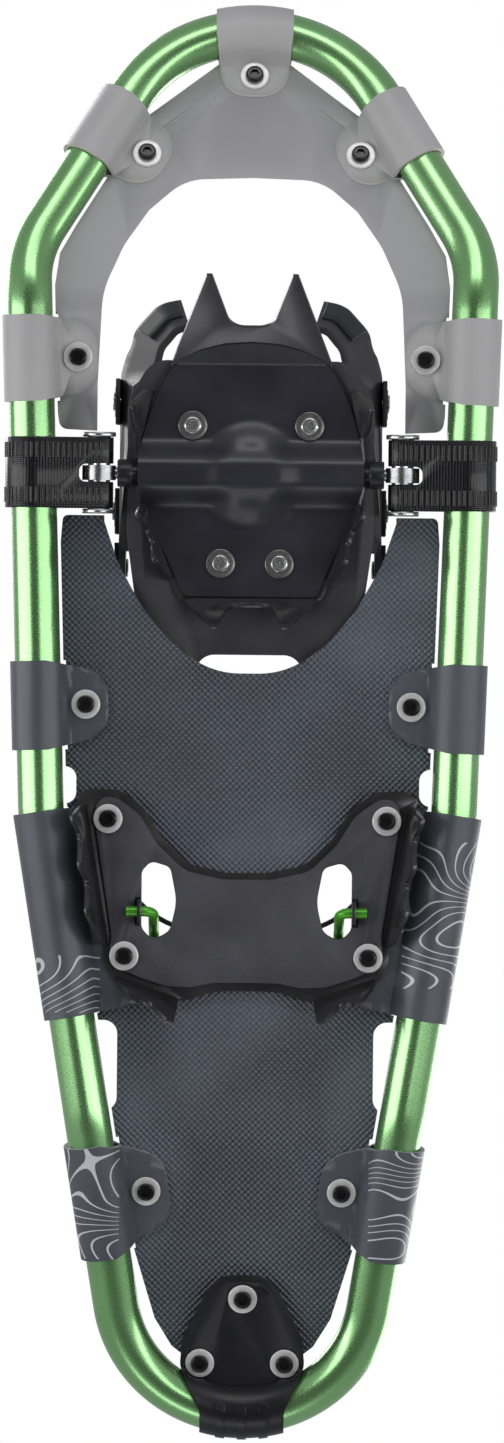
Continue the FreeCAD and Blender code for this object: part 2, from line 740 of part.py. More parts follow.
dome_hollow = Part.makeCone(20.0 - cover_t, 23.0 - cover_t, 3.4, V(0, axle_y, cover_top - 3.4))
tunnel = rod(-80, 80, tunnel_r).fuse(Part.makeBox(160, 2 * tunnel_r, cover_top - axle_z,
                                                  V(-80, axle_y - tunnel_r, axle_z)))


def flange(start, end, fall, outline, t, top):
    """Sheet bent down from the line start-end; outline is (along, down), fall the way down the sheet."""
    a, b = V(start[0], start[1], top), V(end[0], end[1], top)
    along = (b - a).normalize()
    down = V(*fall).normalize()
    normal = along.cross(down).normalize()
    face = Part.Face(wire(outline, lambda s, q: a + along * s + down * q))
    return face.extrude(normal * t)


def teeth_pair(base, depth, tip_in, notch):
    """Two pointed teeth over a base line, mirrored about its middle, with a rounded notch between."""
    m = base / 2
    half = [(0, -0.9), (0, 1.0), (tip_in - 1.2, depth), (tip_in + 1.2, depth), (m - 9, notch, 8), (m, notch)]
    return half + [(base - p[0], *p[1:]) for p in reversed(half[:-1])]


bend_z = crampon_top - crampon_t / 2
front_bend_y = -48.8
front_fall = (0, -0.772, -0.636)
# the cover's front lip follows the underside of the front teeth
lip_outline = [(0, -0.8), (0.5, 1.0, 1.5), (12, 8.6, 22), (33, 12.6, 60), (54, 8.6, 22), (65.5, 1.0, 1.5),
               (66, -0.8)]
lip_y = front_bend_y - crampon_t * front_fall[2]
lip_z = bend_z + crampon_t * front_fall[1]
lip = flange(toe(-33, lip_y), toe(33, lip_y), front_fall, lip_outline, cover_t, lip_z)
cover = flat.fuse([dome, lip]).cut(dome_hollow).fuse(channel).cut(tunnel)
for x, y in cover_spots:
    cover = cover.cut(Part.makeCylinder(screw_hole_r, 20, V(x, y, cover_top - 10)))
save("crampon_cover", one(cover))


def tooth_depth(fall, t, top):
    """How far down a sheet with this fall its tips reach the ground."""
    down = V(*fall).normalize()
    return (top - t * math.hypot(down.x, down.y)) / -down.z


def sheet_flange(start, end, fall, half_width, tip_in, notch, t, top):
    teeth = teeth_pair(half_width * 2, tooth_depth(fall, t, top), tip_in, notch)
    return flange(start, end, fall, teeth, t, top)


front_ends = [toe(-35, front_bend_y), toe(35, front_bend_y)]
front = sheet_flange(*front_ends, front_fall, 35, 16.2, 21.0, crampon_t, bend_z)
rear_ends = [toe(30.5, 55.4), toe(-30.5, 55.4)]
rear = sheet_flange(*rear_ends, (0, 0.36, -0.933), 30.5, 15.2, 8.0, crampon_t, bend_z)
ear_shape = [(0, -0.9), (0, 8, 3), (7, 19.5), (9, 19.5), (21, 8, 3), (21, -0.9)]
ear = flange(toe(43.8, -37.0), toe(48.8, -16.5), (0.42, 0, -1), ear_shape, crampon_t, bend_z)
side_shape = [(0.5, -0.9), (1, 6, 3), (6, 26), (8, 26), (14, 15, 4), (20, 15, 4), (27, 26), (29, 26),
              (36, 8, 3), (37, -0.9)]
side = flange(toe(48.0, 12.5), toe(34.4, 48.0), (0.18, 0, -1), side_shape, crampon_t, bend_z)
toe_plate = plate(toe_outline, crampon_top - crampon_t, crampon_top)
toe_crampon = toe_plate.fuse([front, rear] + both(ear) + both(side))
for x, y in cover_spots:
    toe_crampon = toe_crampon.cut(Part.makeCylinder(screw_hole_r, 20, V(x, y, cover_top - 10)))
save("toe_crampon", one(toe_crampon))

# ---------------------------------------------------------------- footplate, wings and straps
footplate_half_outline = [(44.0, footplate_front_y, 12), (54.0, -140.0, 20), (54.0, -80.0, 30),
                          (47.0, -30.0, 30), (42.0, footplate_rear_y, 14)]
window = plate([(-24, -29.1, 8), (24, -29.1, 8), (22, -8, 8), (-22, -8, 8)], 0, 90)
footplate = plate(mirrored(footplate_half_outline), crampon_top, footplate_top)
cover_places = [FreeCAD.Placement(V(x, y, axle_z), FreeCAD.Rotation()) for x, y in cover_spots]
rivet_spots = [(45.0, -131.0), (45.0, -89.0)]
rivet_r, rivet_head_r, rivet_head_t = 2.0, 4.5, 1.4
rivet_places = [upright(sign * x, y) for x, y in rivet_spots for sign in (1, -1)]
footplate = drill(rivet_places, drill(cover_places, footplate.cut(window), screw_hole_r), rivet_r)
save("footplate", one(footplate))
cover_stack = Stack(cover_top - cover_t - axle_z, footplate_top - axle_z, cover_places)
save("cover_screws", *cover_stack.screws())
save("cover_washers", *cover_stack.washers())
save("cover_nuts", *cover_stack.nuts())

footbed_t = 2.6
footbed_half = [(34.0, -152.0, 12), (38.0, -120.0, 20), (36.0, -60.0, 20), (34.0, -36.0, 8)]
footbed = plate(mirrored(footbed_half), footplate_top, footplate_top + footbed_t)
nut_rooms = [Part.makeCylinder(nut_r + 0.4, 20, V(x, y, footplate_top - 5)) for x, y in cover_spots]
save("footbed", footbed.cut(Part.makeCompound(nut_rooms)))

wing_t = 3.0
wing_in = 54.6
wing_flange_t = 2.0
wing_low = footplate_top
wing_plan = [(wing_in, -60.0), (wing_in, -152.0, 20), (49.0, -170.0, 16),
             (39.0, -181.0, 12), (31.0, -183.0)]
wing_wall = Part.Face(wire(strip(wing_plan, wing_t))).extrude(V(0, 0, 90))
wing_wall.translate(V(0, 0, wing_low))
wing_side = [(-190, wing_low), (-190, 56, 8), (-176, 60, 12), (-162, 56, 10), (-152, 67, 8), (-129, 67, 8),
             (-122, 52, 6), (-110, 52, 6), (-103, 80, 10), (-82, 80, 10), (-74, 72, 10), (-58, 71, 4),
             (-58, wing_low + 15, 10), (-74, wing_low, 14)]
wing_wall = wing_wall.common(along_x(wing_side, 0, 90))
wing_base = plate([(38.5, -150.0, 8), (wing_in + 1, -150.0), (wing_in + 1, -74.0), (38.5, -74.0, 8)],
                  wing_low, wing_low + wing_flange_t)
wing = wing_wall.fuse(wing_base.cut(footbed))
for x, y in rivet_spots:
    wing = wing.cut(Part.makeCylinder(rivet_r, 40, V(x, y, wing_low - 10)))
rivet = Part.makeCylinder(rivet_r, footplate_t + wing_flange_t, V(0, 0, crampon_top - axle_z))
rivet_head_low = footplate_top + wing_flange_t - axle_z
rivet = rivet.fuse(Part.makeCylinder(rivet_head_r, rivet_head_t, V(0, 0, rivet_head_low)))
right_wing = one(wing)
save("wing_rivets", *Stack(0, 0, rivet_places).spread(rivet))

strap_t = 2.0
strap_width = 20.0
strap_out = wing_in + wing_t
plate_t = 2.0


def strap_over(y, low, crown):
    """Strap from the left wing's outer face over the foot to the right wing's."""
    half = [(-strap_out, low), (-strap_out, crown - 26, 24), (-32, crown, 26)]
    line = half + [(-p[0], *p[1:]) for p in reversed(half)]
    return along_y(strip(line, strap_t), y - strap_width / 2, y + strap_width / 2)


toe_y, toe_crown, toe_rivet_z = -140.0, 104.0, 57.0
instep_y, instep_crown, instep_rivet_z = -92.0, 122.0, 66.0
toe_strap = strap_over(toe_y, toe_rivet_z - 11, toe_crown)
instep_strap = strap_over(instep_y, instep_rivet_z - 11, instep_crown)


def strap_rivets(y, z):
    """Rivet through the left wing and strap, heads on both faces."""
    shank = rod(-strap_out - strap_t, -wing_in, 2.0, y, z)
    inner = rod(-wing_in, -wing_in + 1.2, 4.0, y, z)
    outer = rod(-strap_out - strap_t - 1.2, -strap_out - strap_t, 4.0, y, z)
    return shank.fuse([inner, outer])


heel_strap_spot = (-67.0, 62.0)
heel_line = [(strap_out, -78.0), (strap_out, 92.0, 40), (-strap_out, 92.0, 40), (-strap_out, -78.0)]
heel_side = [(-90, 52), (-58, 52, 20), (0, 78.5, 30), (110, 78.5), (110, 98.5), (-4, 98.5, 30), (-62, 72, 20),
             (-90, 72)]
heel_strap = Part.Face(wire(strip(heel_line, -strap_t))).extrude(V(0, 0, 130))
heel_strap = heel_strap.common(along_x(heel_side, -90, 90))
strap_spots = [(toe_y, toe_rivet_z), (instep_y, instep_rivet_z), heel_strap_spot]
strap_pins = [p for y, z in strap_spots for p in both(strap_rivets(y, z))]
strap_holes = Part.makeCompound([rod(-90, 90, 2.0, y, z) for y, z in strap_spots])
right_wing = one(right_wing.cut(strap_holes))
save("right_wing", right_wing)
save("left_wing", flip(right_wing))
save("toe_strap", toe_strap.cut(strap_holes))
save("instep_strap", instep_strap.cut(strap_holes))
save("heel_strap", heel_strap.cut(strap_holes))
save("strap_rivets", *strap_pins)
tab_half = 9.4
tab_shapes = []
for y, crown in ((toe_y, toe_crown), (instep_y, instep_crown)):
    corners = [(-31, y - tab_half, 2), (-21, y - tab_half), (-21, y + tab_half), (-31, y + tab_half, 2)]
    tab_shapes.append(plate(corners, crown + strap_t, crown + strap_t + 2.0))
save("strap_tabs", *tab_shapes)
trim_line = [(49.0, -170.0), (39.0, -181.0, 12), (31.5, -182.9)]
trim = Part.Face(wire(strip([(p[0] + 2.0, p[1] - 2.4, *p[2:]) for p in trim_line], 1.6))).extrude(V(0, 0, 12))
trim.translate(V(0, 0, wing_low + 6))
trim = trim.cut(right_wing)
save("wing_trim", *both(trim))

# ---------------------------------------------------------------- buckles
lever_pin_r = 1.5
lever_play = 0.05
cheek_t = 2.0
cheek_in = strap_width / 2 + 0.6
lever_z = 2.0 + strap_t + 2.7


def buckle(place):
    """Base with two cheeks, pivot pin and lever; local x along the strap, y along the pin, z outwards."""
    half = cheek_in + cheek_t
    base = plate([(-13, -half, 2), (13, -half, 2), (13, half, 2), (-13, half, 2)], 0, plate_t)
    cheek = [(2, plate_t - 0.5), (2, 6, 3), (5, 8.8, 3), (11, 8.8, 3), (13, plate_t - 0.5)]
    cheeks = along_y(cheek, cheek_in, half)
    base = base.fuse([cheeks, cheeks.mirror(V(0, 0, 0), EY)])
    pin = Part.makeCylinder(lever_pin_r, 2 * half, V(8, -half, lever_z), EY)
    lever = Part.makeCylinder(2.4, 2 * (cheek_in - 0.4), V(8, -cheek_in + 0.4, lever_z), EY)
    arm = [(8, -cheek_in + 0.4), (-14, -cheek_in + 2.4, 5), (-14, cheek_in - 2.4, 5), (8, cheek_in - 0.4)]
    arm = plate(arm, lever_z - 1.4, lever_z + 1.2)
    lip = [(-16.5, lever_z + 0.4, 0.6), (-16.5, lever_z + 2.6, 0.8), (-9, lever_z + 1.2), (-10, lever_z)]
    lip = along_y(lip, -cheek_in + 4, cheek_in - 4)
    lever = lever.fuse([arm, lip]).cut(
        Part.makeCylinder(lever_pin_r + lever_play, 80, V(8, -40, lever_z), EY))
    shapes = [one(base.cut(pin)), pin, one(lever)]
    for shape in shapes:
        shape.Placement = place.multiply(shape.Placement)
    return shapes


buckles = {
    "toe": place_on(V(0, toe_y, toe_crown - plate_t), EX, EY, EZ),
    "instep": place_on(V(0, instep_y, instep_crown - plate_t), EX, EY, EZ),
    "heel": place_on(V(strap_out - plate_t, 20.0, 88.5), EY, EZ, EX),
}
for name, place in buckles.items():
    base, pin, lever = buckle(place)
    save(name + "_buckle", base)
    save(name + "_buckle_pin", pin)
    save(name + "_lever", lever)

# ---------------------------------------------------------------- heel crampon, cover, pad and lift
heel_top = deck_low - sheet_t
heel_bend = heel_top - heel_crampon_t / 2
heel_half = from_bail([
    (0, -17.2), (9, -17.2, 10), (25, -20.7, 14), (36.6, -31.2, 20), (45.5, -45.7, 12), (56, -53, 10),
    (68, -53.7, 8), (76, -50, 3), (71, -42.5, 6), (61.9, 12.5, 8), (62.6, 21.5, 6), (58.4, 30, 6),
    (47.5, 36.5, 14), (35, 40.1, 12), (24, 38.3, 10), (14, 34.9, 14), (0, 34.3)])
cover_inset_half = from_bail([
    (0, -14.3), (10.5, -14.3, 10), (27, -18, 14), (39, -29.5, 20), (47, -42.5, 12), (57, -49.7, 10),
    (66, -50.3, 6), (67.2, -41.5, 8), (59.2, 10.5, 8), (59.6, 19.5, 6), (56, 25.1, 6),
    (46.5, 29.1, 14), (35, 32.9, 12), (24, 33.1, 10), (14, 31.1, 14), (0, 30.9)])
blade_fall = (0.22, 0.02, -1)
saw = [(0, -0.9), (2, 10, 4)]
for i in range(3):
    saw += [(5.5 + 20.5 * i, 27.6), (8.5 + 20.5 * i, 27.6), (15 + 20.5 * i, 17.5, 3)]
saw = saw[:-1] + [(62, 10, 4), (64, -0.9)]
blade = flange((72.4, bail_y - 47.5), (62.0, bail_y + 16.5), blade_fall, saw, heel_crampon_t, heel_bend)
rear_fall = (-0.1, 0.42, -1)
rear_saw = [(0, -0.9), (1, 8, 4), (5, 20), (8, 20), (13, 13, 4), (21, 29.0), (24.5, 29.0), (28, 8, 4),
            (28.5, -0.9)]
rear_ends = [(57.5, bail_y + 30.0), (30.5, bail_y + 39.2)]
rear_blade = flange(*rear_ends, rear_fall, rear_saw, heel_crampon_t, heel_bend)
lug_t = 1.6
bail_z = heel_top - heel_crampon_t - heel_cover_t - bail_r - 0.4
lug_x, lug_half = 46.2, 5.0
lug_corners = [(lug_x, bail_y - lug_half), (lug_x + lug_t, bail_y - lug_half),
               (lug_x + lug_t, bail_y + lug_half), (lug_x, bail_y + lug_half)]
lug = plate(lug_corners, bail_z - lug_half, heel_top - 1)
lug = lug.cut(rod(40, 60, bail_r + 0.05, bail_y, bail_z))
heel_plate = plate(mirrored(heel_half), heel_top - heel_crampon_t, heel_top)
heel_crampon = heel_plate.cut(Part.makeCompound(slots)).fuse(both(blade) + both(rear_blade) + both(lug))
save("heel_crampon", one(drill(heel_screws, heel_crampon, screw_hole_r)))
lug_room = plate([(45, bail_y - 6), (48.8, bail_y - 6), (48.8, bail_y + 6), (45, bail_y + 6)], 0, 60)
heel_cover_top = heel_top - heel_crampon_t
heel_cover = plate(mirrored(cover_inset_half), heel_cover_top - heel_cover_t, heel_cover_top)
heel_cover = heel_cover.cut(Part.makeCompound(slots + both(lug_room)))
save("heel_cover", one(drill(heel_screws, heel_cover, screw_hole_r)))
pad_half = from_bail([
    (0, -57.5), (22, -59.5, 10), (60, -55.5, 8), (68, -45.5, 6), (66, -31.5, 8), (59.2, 14.5, 10),
    (57.6, 28.5, 8), (40, 35.5, 10), (0, 37.5)])
heel_pad = plate(mirrored(pad_half), deck_top, deck_top + heel_pad_t).cut(Part.makeCompound(slots))
save("heel_pad", one(drill(heel_screws, heel_pad, screw_hole_r)))


def bent_rod(points, r):
    """Round wire through 3-D corners, each rounded to its fourth number."""
    edges = []
    last = V(*points[0][:3])
    for before, here, after in zip(points, points[1:], points[2:]):
        p = V(*here[:3])
        back, ahead = (V(*before[:3]) - p).normalize(), (V(*after[:3]) - p).normalize()
        half = back.getAngle(ahead) / 2
        reach = here[3] / math.tan(half)
        middle = p + (back + ahead).normalize() * (here[3] / math.sin(half) - here[3])
        edges.append(Part.LineSegment(last, p + back * reach).toShape())
        edges.append(Part.Arc(p + back * reach, middle, p + ahead * reach).toShape())
        last = p + ahead * reach
    edges.append(Part.LineSegment(last, V(*points[-1][:3])).toShape())
    spine = Part.Wire(edges)
    start = V(*points[0][:3])
    ring = Part.Wire(Part.Circle(start, V(*points[1][:3]) - start, r).toShape())
    return spine.makePipeShell([ring], True, True)


bail_top = deck_top + heel_pad_t + bail_r + 0.35
bail_rear = bail_y + bail_reach
bail_half = [(bail_stub_x, bail_y, bail_z), (bail_leg_x, bail_y, bail_z, 4),
             (bail_leg_x, bail_y + 8.0, bail_top, 5), (bail_leg_x - 3.0, bail_rear, bail_top, 9)]
bail = bent_rod(bail_half + [(-p[0], *p[1:]) for p in reversed(bail_half)], bail_r)
save("heel_bail", bail)
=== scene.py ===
import json
import math
import bmesh
import bpy
import numpy as np
from mathutils import Matrix, Vector
from mathutils.noise import noise as softNoise

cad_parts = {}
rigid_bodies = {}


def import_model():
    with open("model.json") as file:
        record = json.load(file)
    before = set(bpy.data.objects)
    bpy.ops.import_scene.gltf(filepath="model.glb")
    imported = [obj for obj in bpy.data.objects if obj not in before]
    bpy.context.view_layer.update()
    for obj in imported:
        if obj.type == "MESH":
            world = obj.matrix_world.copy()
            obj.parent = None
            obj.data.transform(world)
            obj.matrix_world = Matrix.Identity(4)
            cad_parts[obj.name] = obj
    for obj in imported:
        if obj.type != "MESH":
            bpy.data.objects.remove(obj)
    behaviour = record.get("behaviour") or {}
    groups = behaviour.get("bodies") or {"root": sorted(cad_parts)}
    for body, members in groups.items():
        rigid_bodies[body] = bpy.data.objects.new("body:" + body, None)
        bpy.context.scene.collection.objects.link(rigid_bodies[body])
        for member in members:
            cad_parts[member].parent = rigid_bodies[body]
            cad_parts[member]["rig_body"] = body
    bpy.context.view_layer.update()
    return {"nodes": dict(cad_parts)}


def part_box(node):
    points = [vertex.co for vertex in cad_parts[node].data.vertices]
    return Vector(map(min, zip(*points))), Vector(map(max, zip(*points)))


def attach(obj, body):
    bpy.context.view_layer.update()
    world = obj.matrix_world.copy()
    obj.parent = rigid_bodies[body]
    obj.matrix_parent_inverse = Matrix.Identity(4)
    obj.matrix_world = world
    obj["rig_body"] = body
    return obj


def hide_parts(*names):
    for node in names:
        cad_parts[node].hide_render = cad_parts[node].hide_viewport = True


# Snowshoe: green tube frame, two decks, a toe binding that swings on its axle, heel crampon and heel lift.
# Metres, in the same frame as the CAD. Each dictionary below holds what can be changed for its piece.

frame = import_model()
print("frame loaded,", len(frame["nodes"]), "nodes")


# node trees written as sums
class Flow:
    def __init__(self, socket):  # one output socket that takes part in sums
        self.socket = socket

    def sum(self, operation, first, second=None):
        tree = self.socket.id_data
        node = tree.nodes.new("ShaderNodeMath")
        node.operation = operation
        for put, value in zip(node.inputs, (first, second)):
            if isinstance(value, Flow):
                tree.links.new(value.socket, put)
            elif value is not None:
                put.default_value = value
        return Flow(node.outputs[0])

    def __add__(self, other):
        return self.sum("ADD", self, other)

    def __sub__(self, other):
        return self.sum("SUBTRACT", self, other)

    def __mul__(self, other):
        return self.sum("MULTIPLY", self, other)

    def sine(self):
        return self.sum("SINE", self)

    def size(self):
        return self.sum("ABSOLUTE", self)

    def fraction(self):
        return self.sum("FRACT", self)

    def above(self, edge):
        return self.sum("GREATER_THAN", self, edge)

    def below(self, edge):
        return self.sum("LESS_THAN", self, edge)

    def atMost(self, other):
        return self.sum("MINIMUM", self, other)

    def other(self, name):  # another output of the same node
        return Flow(self.socket.node.outputs[name])


class Tree:
    def __init__(self, tree):
        self.tree = tree

    def add(self, kind, settings=None, sockets=None, out=0):
        node = self.tree.nodes.new(kind)
        for key, value in (settings or {}).items():
            if key == "stops":
                ramp = node.color_ramp
                while len(ramp.elements) < len(value):
                    ramp.elements.new(0.5)
                for stop, (place, colour) in zip(ramp.elements, value):
                    stop.position = place
                    stop.color = colour
            else:
                setattr(node, key, value)
        for key, value in (sockets or {}).items():
            for each in value if isinstance(value, list) else [value]:
                if isinstance(each, Flow):
                    self.tree.links.new(each.socket, node.inputs[key])
                else:
                    node.inputs[key].default_value = each
        return Flow(node.outputs[out]) if len(node.outputs) else None


class Finish(Tree):
    def __init__(self, name, uniform):
        self.material = bpy.data.materials.new(name)
        self.material.use_nodes = True
        super().__init__(self.material.node_tree)
        self.shader = self.tree.nodes["Principled BSDF"]
        self.place = self.add("ShaderNodeTexCoord", out="Object")
        for key, value in uniform.items():
            self.shader.inputs[key].default_value = value

    def noise(self, scale, detail=2.0, roughness=0.5, at=None, stretch=None):
        at = at or self.place
        if stretch:
            at = self.add("ShaderNodeMapping", {}, {"Vector": at, "Scale": stretch})
        return self.add("ShaderNodeTexNoise", {}, {"Vector": at, "Scale": scale, "Detail": detail,
                                                   "Roughness": roughness})

    def mark(self, name):  # a number kept on the mesh
        return self.add("ShaderNodeAttribute", {"attribute_name": name}, out="Fac")

    def axis(self, letter, at=None):
        return self.add("ShaderNodeSeparateXYZ", {}, {"Vector": at or self.place}, out=letter)

    def mix(self, share, first, second):
        node = self.tree.nodes.new("ShaderNodeMix")
        node.data_type = "RGBA"
        for put, value in ((node.inputs[0], share), (node.inputs[6], first), (node.inputs[7], second)):
            if isinstance(value, Flow):
                self.tree.links.new(value.socket, put)
            else:
                put.default_value = value if isinstance(value, float) else (*value[:3], 1.0)
        return Flow(node.outputs[2])

    def span(self, value, fromLow, fromHigh, toLow, toHigh):
        return self.add("ShaderNodeMapRange", {"clamp": True}, {
            "Value": value, "From Min": fromLow, "From Max": fromHigh, "To Min": toLow, "To Max": toHigh})

    def spread(self, value, toLow=0.0, toHigh=1.0):  # the middle part of a noise, spread over two limits
        return self.span(value, 0.3, 0.7, toLow, toHigh)

    def wear(self, colour=None, roughness=None, metallic=None):
        for key, value in (("Base Color", colour), ("Roughness", roughness), ("Metallic", metallic)):
            if value is not None:
                self.tree.links.new(value.socket, self.shader.inputs[key])
        return self

    def emboss(self, height, depth, strength=1.0):
        bump = self.add("ShaderNodeBump", {}, {"Height": height, "Distance": depth, "Strength": strength})
        self.tree.links.new(bump.socket, self.shader.inputs["Normal"])
        return self


# colours of the finishes
colours = {
    "tubeDark": (0.160, 0.400, 0.125), "tubeLight": (0.270, 0.570, 0.215), "tubeWorn": (0.50, 0.70, 0.44),
    "nose": (0.345, 0.340, 0.352), "nosePale": (0.365, 0.360, 0.370),
    "noseTab": (0.385, 0.380, 0.385), "noseTabPale": (0.43, 0.425, 0.43),
    # the edge colours of the deck sheets are a painted highlight along their cut edges
    "noseEdge": (0.50, 0.47, 0.43), "noseEdgePale": (0.60, 0.57, 0.52),
    # the third slate colour is a painted sheen, mixed in as lighter streaks
    "slate": (0.016, 0.020, 0.028), "slateLight": (0.112, 0.134, 0.176), "slatePaintedSheen": (0.150, 0.170, 0.205),
    "slateEdge": (0.05, 0.052, 0.06), "slateEdgePale": (0.09, 0.095, 0.11),
    "wrap": (0.064, 0.072, 0.087), "wrapEdge": (0.20, 0.21, 0.23), "wrapEdgePale": (0.27, 0.28, 0.30),
    "lines": (0.55, 0.57, 0.60), "cover": (0.0125, 0.0125, 0.0185), "heelCover": (0.0400, 0.0400, 0.0480),
    # the crampon edge colour is worn bare steel, made bright as a painted glint
    "crampon": (0.036, 0.034, 0.036), "cramponEdge": (0.58, 0.56, 0.57), "footplate": (0.025, 0.024, 0.027),
    "plastic": (0.0050, 0.0050, 0.0062), "plasticEdge": (0.020, 0.020, 0.024), "strap": (0.013, 0.013, 0.015),
    "pad": (0.020, 0.020, 0.022), "webbing": (0.003, 0.003, 0.004), "webbingPale": (0.009, 0.009, 0.011),
    "green": (0.10, 0.42, 0.045), "greenWire": (0.10, 0.46, 0.03), "axle": (0.36, 0.36, 0.37),
    "bright": (0.62, 0.62, 0.62), "washer": (0.80, 0.79, 0.78), "darkWasher": (0.30, 0.29, 0.28),
    "screw": (0.008, 0.008, 0.009),
}


def tubeFinish():
    f = Finish("tubeGreen", {"Metallic": 0.85, "Coat Weight": 0.60, "Coat Roughness": 0.26, "Coat IOR": 2.0})
    along = f.mark("along")
    around = f.mark("around")
    spot = f.add("ShaderNodeCombineXYZ", {}, {"X": along, "Y": around * 0.02, "Z": 0.0})
    rings = f.noise(1500.0, 3.0, 0.6, at=spot)
    patches = f.noise(16.0, 3.0)
    scuffs = f.noise(70.0, 6.0, 0.7, stretch=(1.0, 0.25, 1.0))
    tone = f.spread(patches * 0.6 + rings * 0.4)
    colour = f.mix(tone, colours["tubeDark"], colours["tubeLight"])
    worn = f.span(scuffs, 0.66, 0.74, 0.0, 0.35)
    colour = f.mix(worn, colour, colours["tubeWorn"])
    f.wear(colour, f.spread(rings, 0.21, 0.31) + worn * 0.1)
    return f.emboss(rings, 0.00002, 0.2).material


def noseFinish(name, key):
    f = Finish(name, {"Specular IOR Level": 0.45, "Sheen Weight": 0.05})
    grain = f.noise(2600.0, 2.0)
    cloud = f.noise(22.0, 3.0)
    lift = f.noise(60.0, 1.0)
    colour = f.mix(f.spread(cloud), colours[key], colours[key + "Pale"])
    f.wear(colour, f.spread(cloud, 0.36, 0.47) + grain * 0.05)
    return f.emboss(grain * 0.12 + lift * 3.0, 0.0002, 0.5).material


weavePitch = 0.0028


def slateFinish():  # a fine diamond weave over a soft wave bump, with painted sheen: lighter streaks where the wave noise is high
    f = Finish("slateWeave", {"Specular IOR Level": 0.55, "Sheen Weight": 0.12, "Sheen Roughness": 0.4})
    turn = 2.0 * math.pi / weavePitch
    x, y = f.axis("X"), f.axis("Y")
    weave = (x * turn).sine() * (y * turn).sine()
    cloud = f.noise(14.0, 2.0)
    wavesAndPaintedSheen = f.noise(17.0, 1.5, stretch=(1.0, 0.7, 1.0))
    dust = f.noise(240.0, 4.0, 0.7)
    colour = f.mix(f.span(weave * 0.5 + cloud, 0.15, 0.95, 0.0, 1.0), colours["slate"], colours["slateLight"])
    # painted sheen: the wave noise lightens the colour in streaks, in place of soft reflections
    colour = f.mix(f.span(wavesAndPaintedSheen, 0.52, 0.74, 0.0, 0.5), colour, colours["slatePaintedSheen"])
    f.wear(colour, f.spread(dust, 0.32, 0.44) - weave * 0.08)
    return f.emboss(weave * 1.5 + wavesAndPaintedSheen * 14.0 + dust * 0.12, 0.0005, 0.7).material


contours = {  # inner x, first y and last y of each drawn field, and the lines in it
    "right": (0.068, 0.052, 0.116), "left": (0.064, 0.103, 0.128), "tail": (0.0545, 0.186, 0.236),
    "scale": 24.0, "count": 19.0, "halfWidth": 0.07,
}


def drawnField(far, y, side):
    inner, first, last = contours[side]
    return far.above(inner) * y.above(first) * y.below(last)


def wrapFinish():  # smooth tabs with a plain pattern of contour lines on their outer side
    f = Finish("wrapSatin", {"Specular IOR Level": 0.5})
    x, y = f.axis("X"), f.axis("Y")
    far = x.size()
    right = x.above(0.0) * drawnField(far, y, "right")
    left = x.below(0.0) * drawnField(far, y, "left")
    tail = drawnField(far, y, "tail")
    height = f.noise(contours["scale"], 0.0, stretch=(0.7, 1.4, 0.7)) * contours["count"]
    line = (height.fraction() - 0.5).size().below(contours["halfWidth"])
    drawn = (right + left + tail).atMost(1.0) * line
    cloud = f.noise(18.0, 2.0)
    grain = f.noise(2200.0, 2.0)
    colour = f.mix(f.spread(cloud), colours["wrap"], [c * 1.25 for c in colours["wrap"]])
    colour = f.mix(drawn, colour, colours["lines"])
    f.wear(colour, f.spread(cloud, 0.34, 0.44))
    return f.emboss(cloud * 5.0 + grain * 0.1, 0.0003, 0.5).material


# cut edges of the deck sheets: their colours are a painted highlight, lighter than the faces beside them,
# with a fine grain
def edgeFinish(name, key):
    f = Finish(name, {"Specular IOR Level": 0.5})
    fibre = f.noise(900.0, 3.0, 0.6)
    colour = f.mix(fibre, colours[key], colours[key + "Pale"])
    f.wear(colour, f.span(fibre, 0.2, 0.8, 0.35, 0.6))
    return f.emboss(fibre, 0.0001, 0.4).material


def blackFinish(name, key, rough, grainSize, grainDepth, coat=0.0, metallic=0.0):
    tint = colours[key]
    f = Finish(name, {"Metallic": metallic, "Coat Weight": coat, "Coat Roughness": 0.18,
                      "Specular IOR Level": 0.4})
    grain = f.noise(1.0 / grainSize, 2.5, 0.55)
    cloud = f.noise(35.0, 4.0, 0.6)
    scuff = f.span(f.noise(130.0, 6.0, 0.75), 0.62, 0.76, 0.0, 0.5)
    pale = [c * 1.8 + 0.002 for c in tint]
    colour = f.mix(f.span(cloud + grain * 0.4, 0.4, 1.0, 0.0, 1.0), tint, pale)
    colour = f.mix(scuff * 0.3, colour, [c * 2.5 + 0.010 for c in tint])
    f.wear(colour, f.spread(cloud, rough - 0.05, rough + 0.07) + scuff * 0.12)
    return f.emboss(grain, grainDepth, 0.7).material


def steelFinish(name, key, rough, metallic=0.95):
    tint = colours[key]
    f = Finish(name, {"Metallic": metallic, "Specular IOR Level": 0.5})
    brushed = f.noise(1400.0, 3.0, 0.6, stretch=(1.0, 1.0, 1.0))
    stain = f.noise(90.0, 4.0, 0.6)
    colour = f.mix(f.span(stain, 0.35, 0.7, 0.0, 1.0), tint, [c * 0.72 for c in tint])
    f.wear(colour, f.spread(brushed, rough - 0.06, rough + 0.10))
    return f.emboss(brushed, 0.00002, 0.5).material


def ribbedRubber(name, key, rough):
    tint = colours[key]
    f = Finish(name, {"Specular IOR Level": 0.55})
    weave = f.noise(1900.0, 2.0)
    cloud = f.noise(60.0, 4.0, 0.65)
    dust = f.span(f.noise(200.0, 5.0, 0.75), 0.6, 0.75, 0.0, 0.35)
    colour = f.mix(f.spread(cloud), tint, [c * 1.8 + 0.003 for c in tint])
    colour = f.mix(dust, colour, [c + 0.03 for c in tint])
    f.wear(colour, f.spread(cloud, rough - 0.04, rough + 0.08))
    return f.emboss(weave + cloud * 2.0, 0.00008, 0.5).material


threads = {"along": 0.0013, "across": 0.0009}  # pitch each way


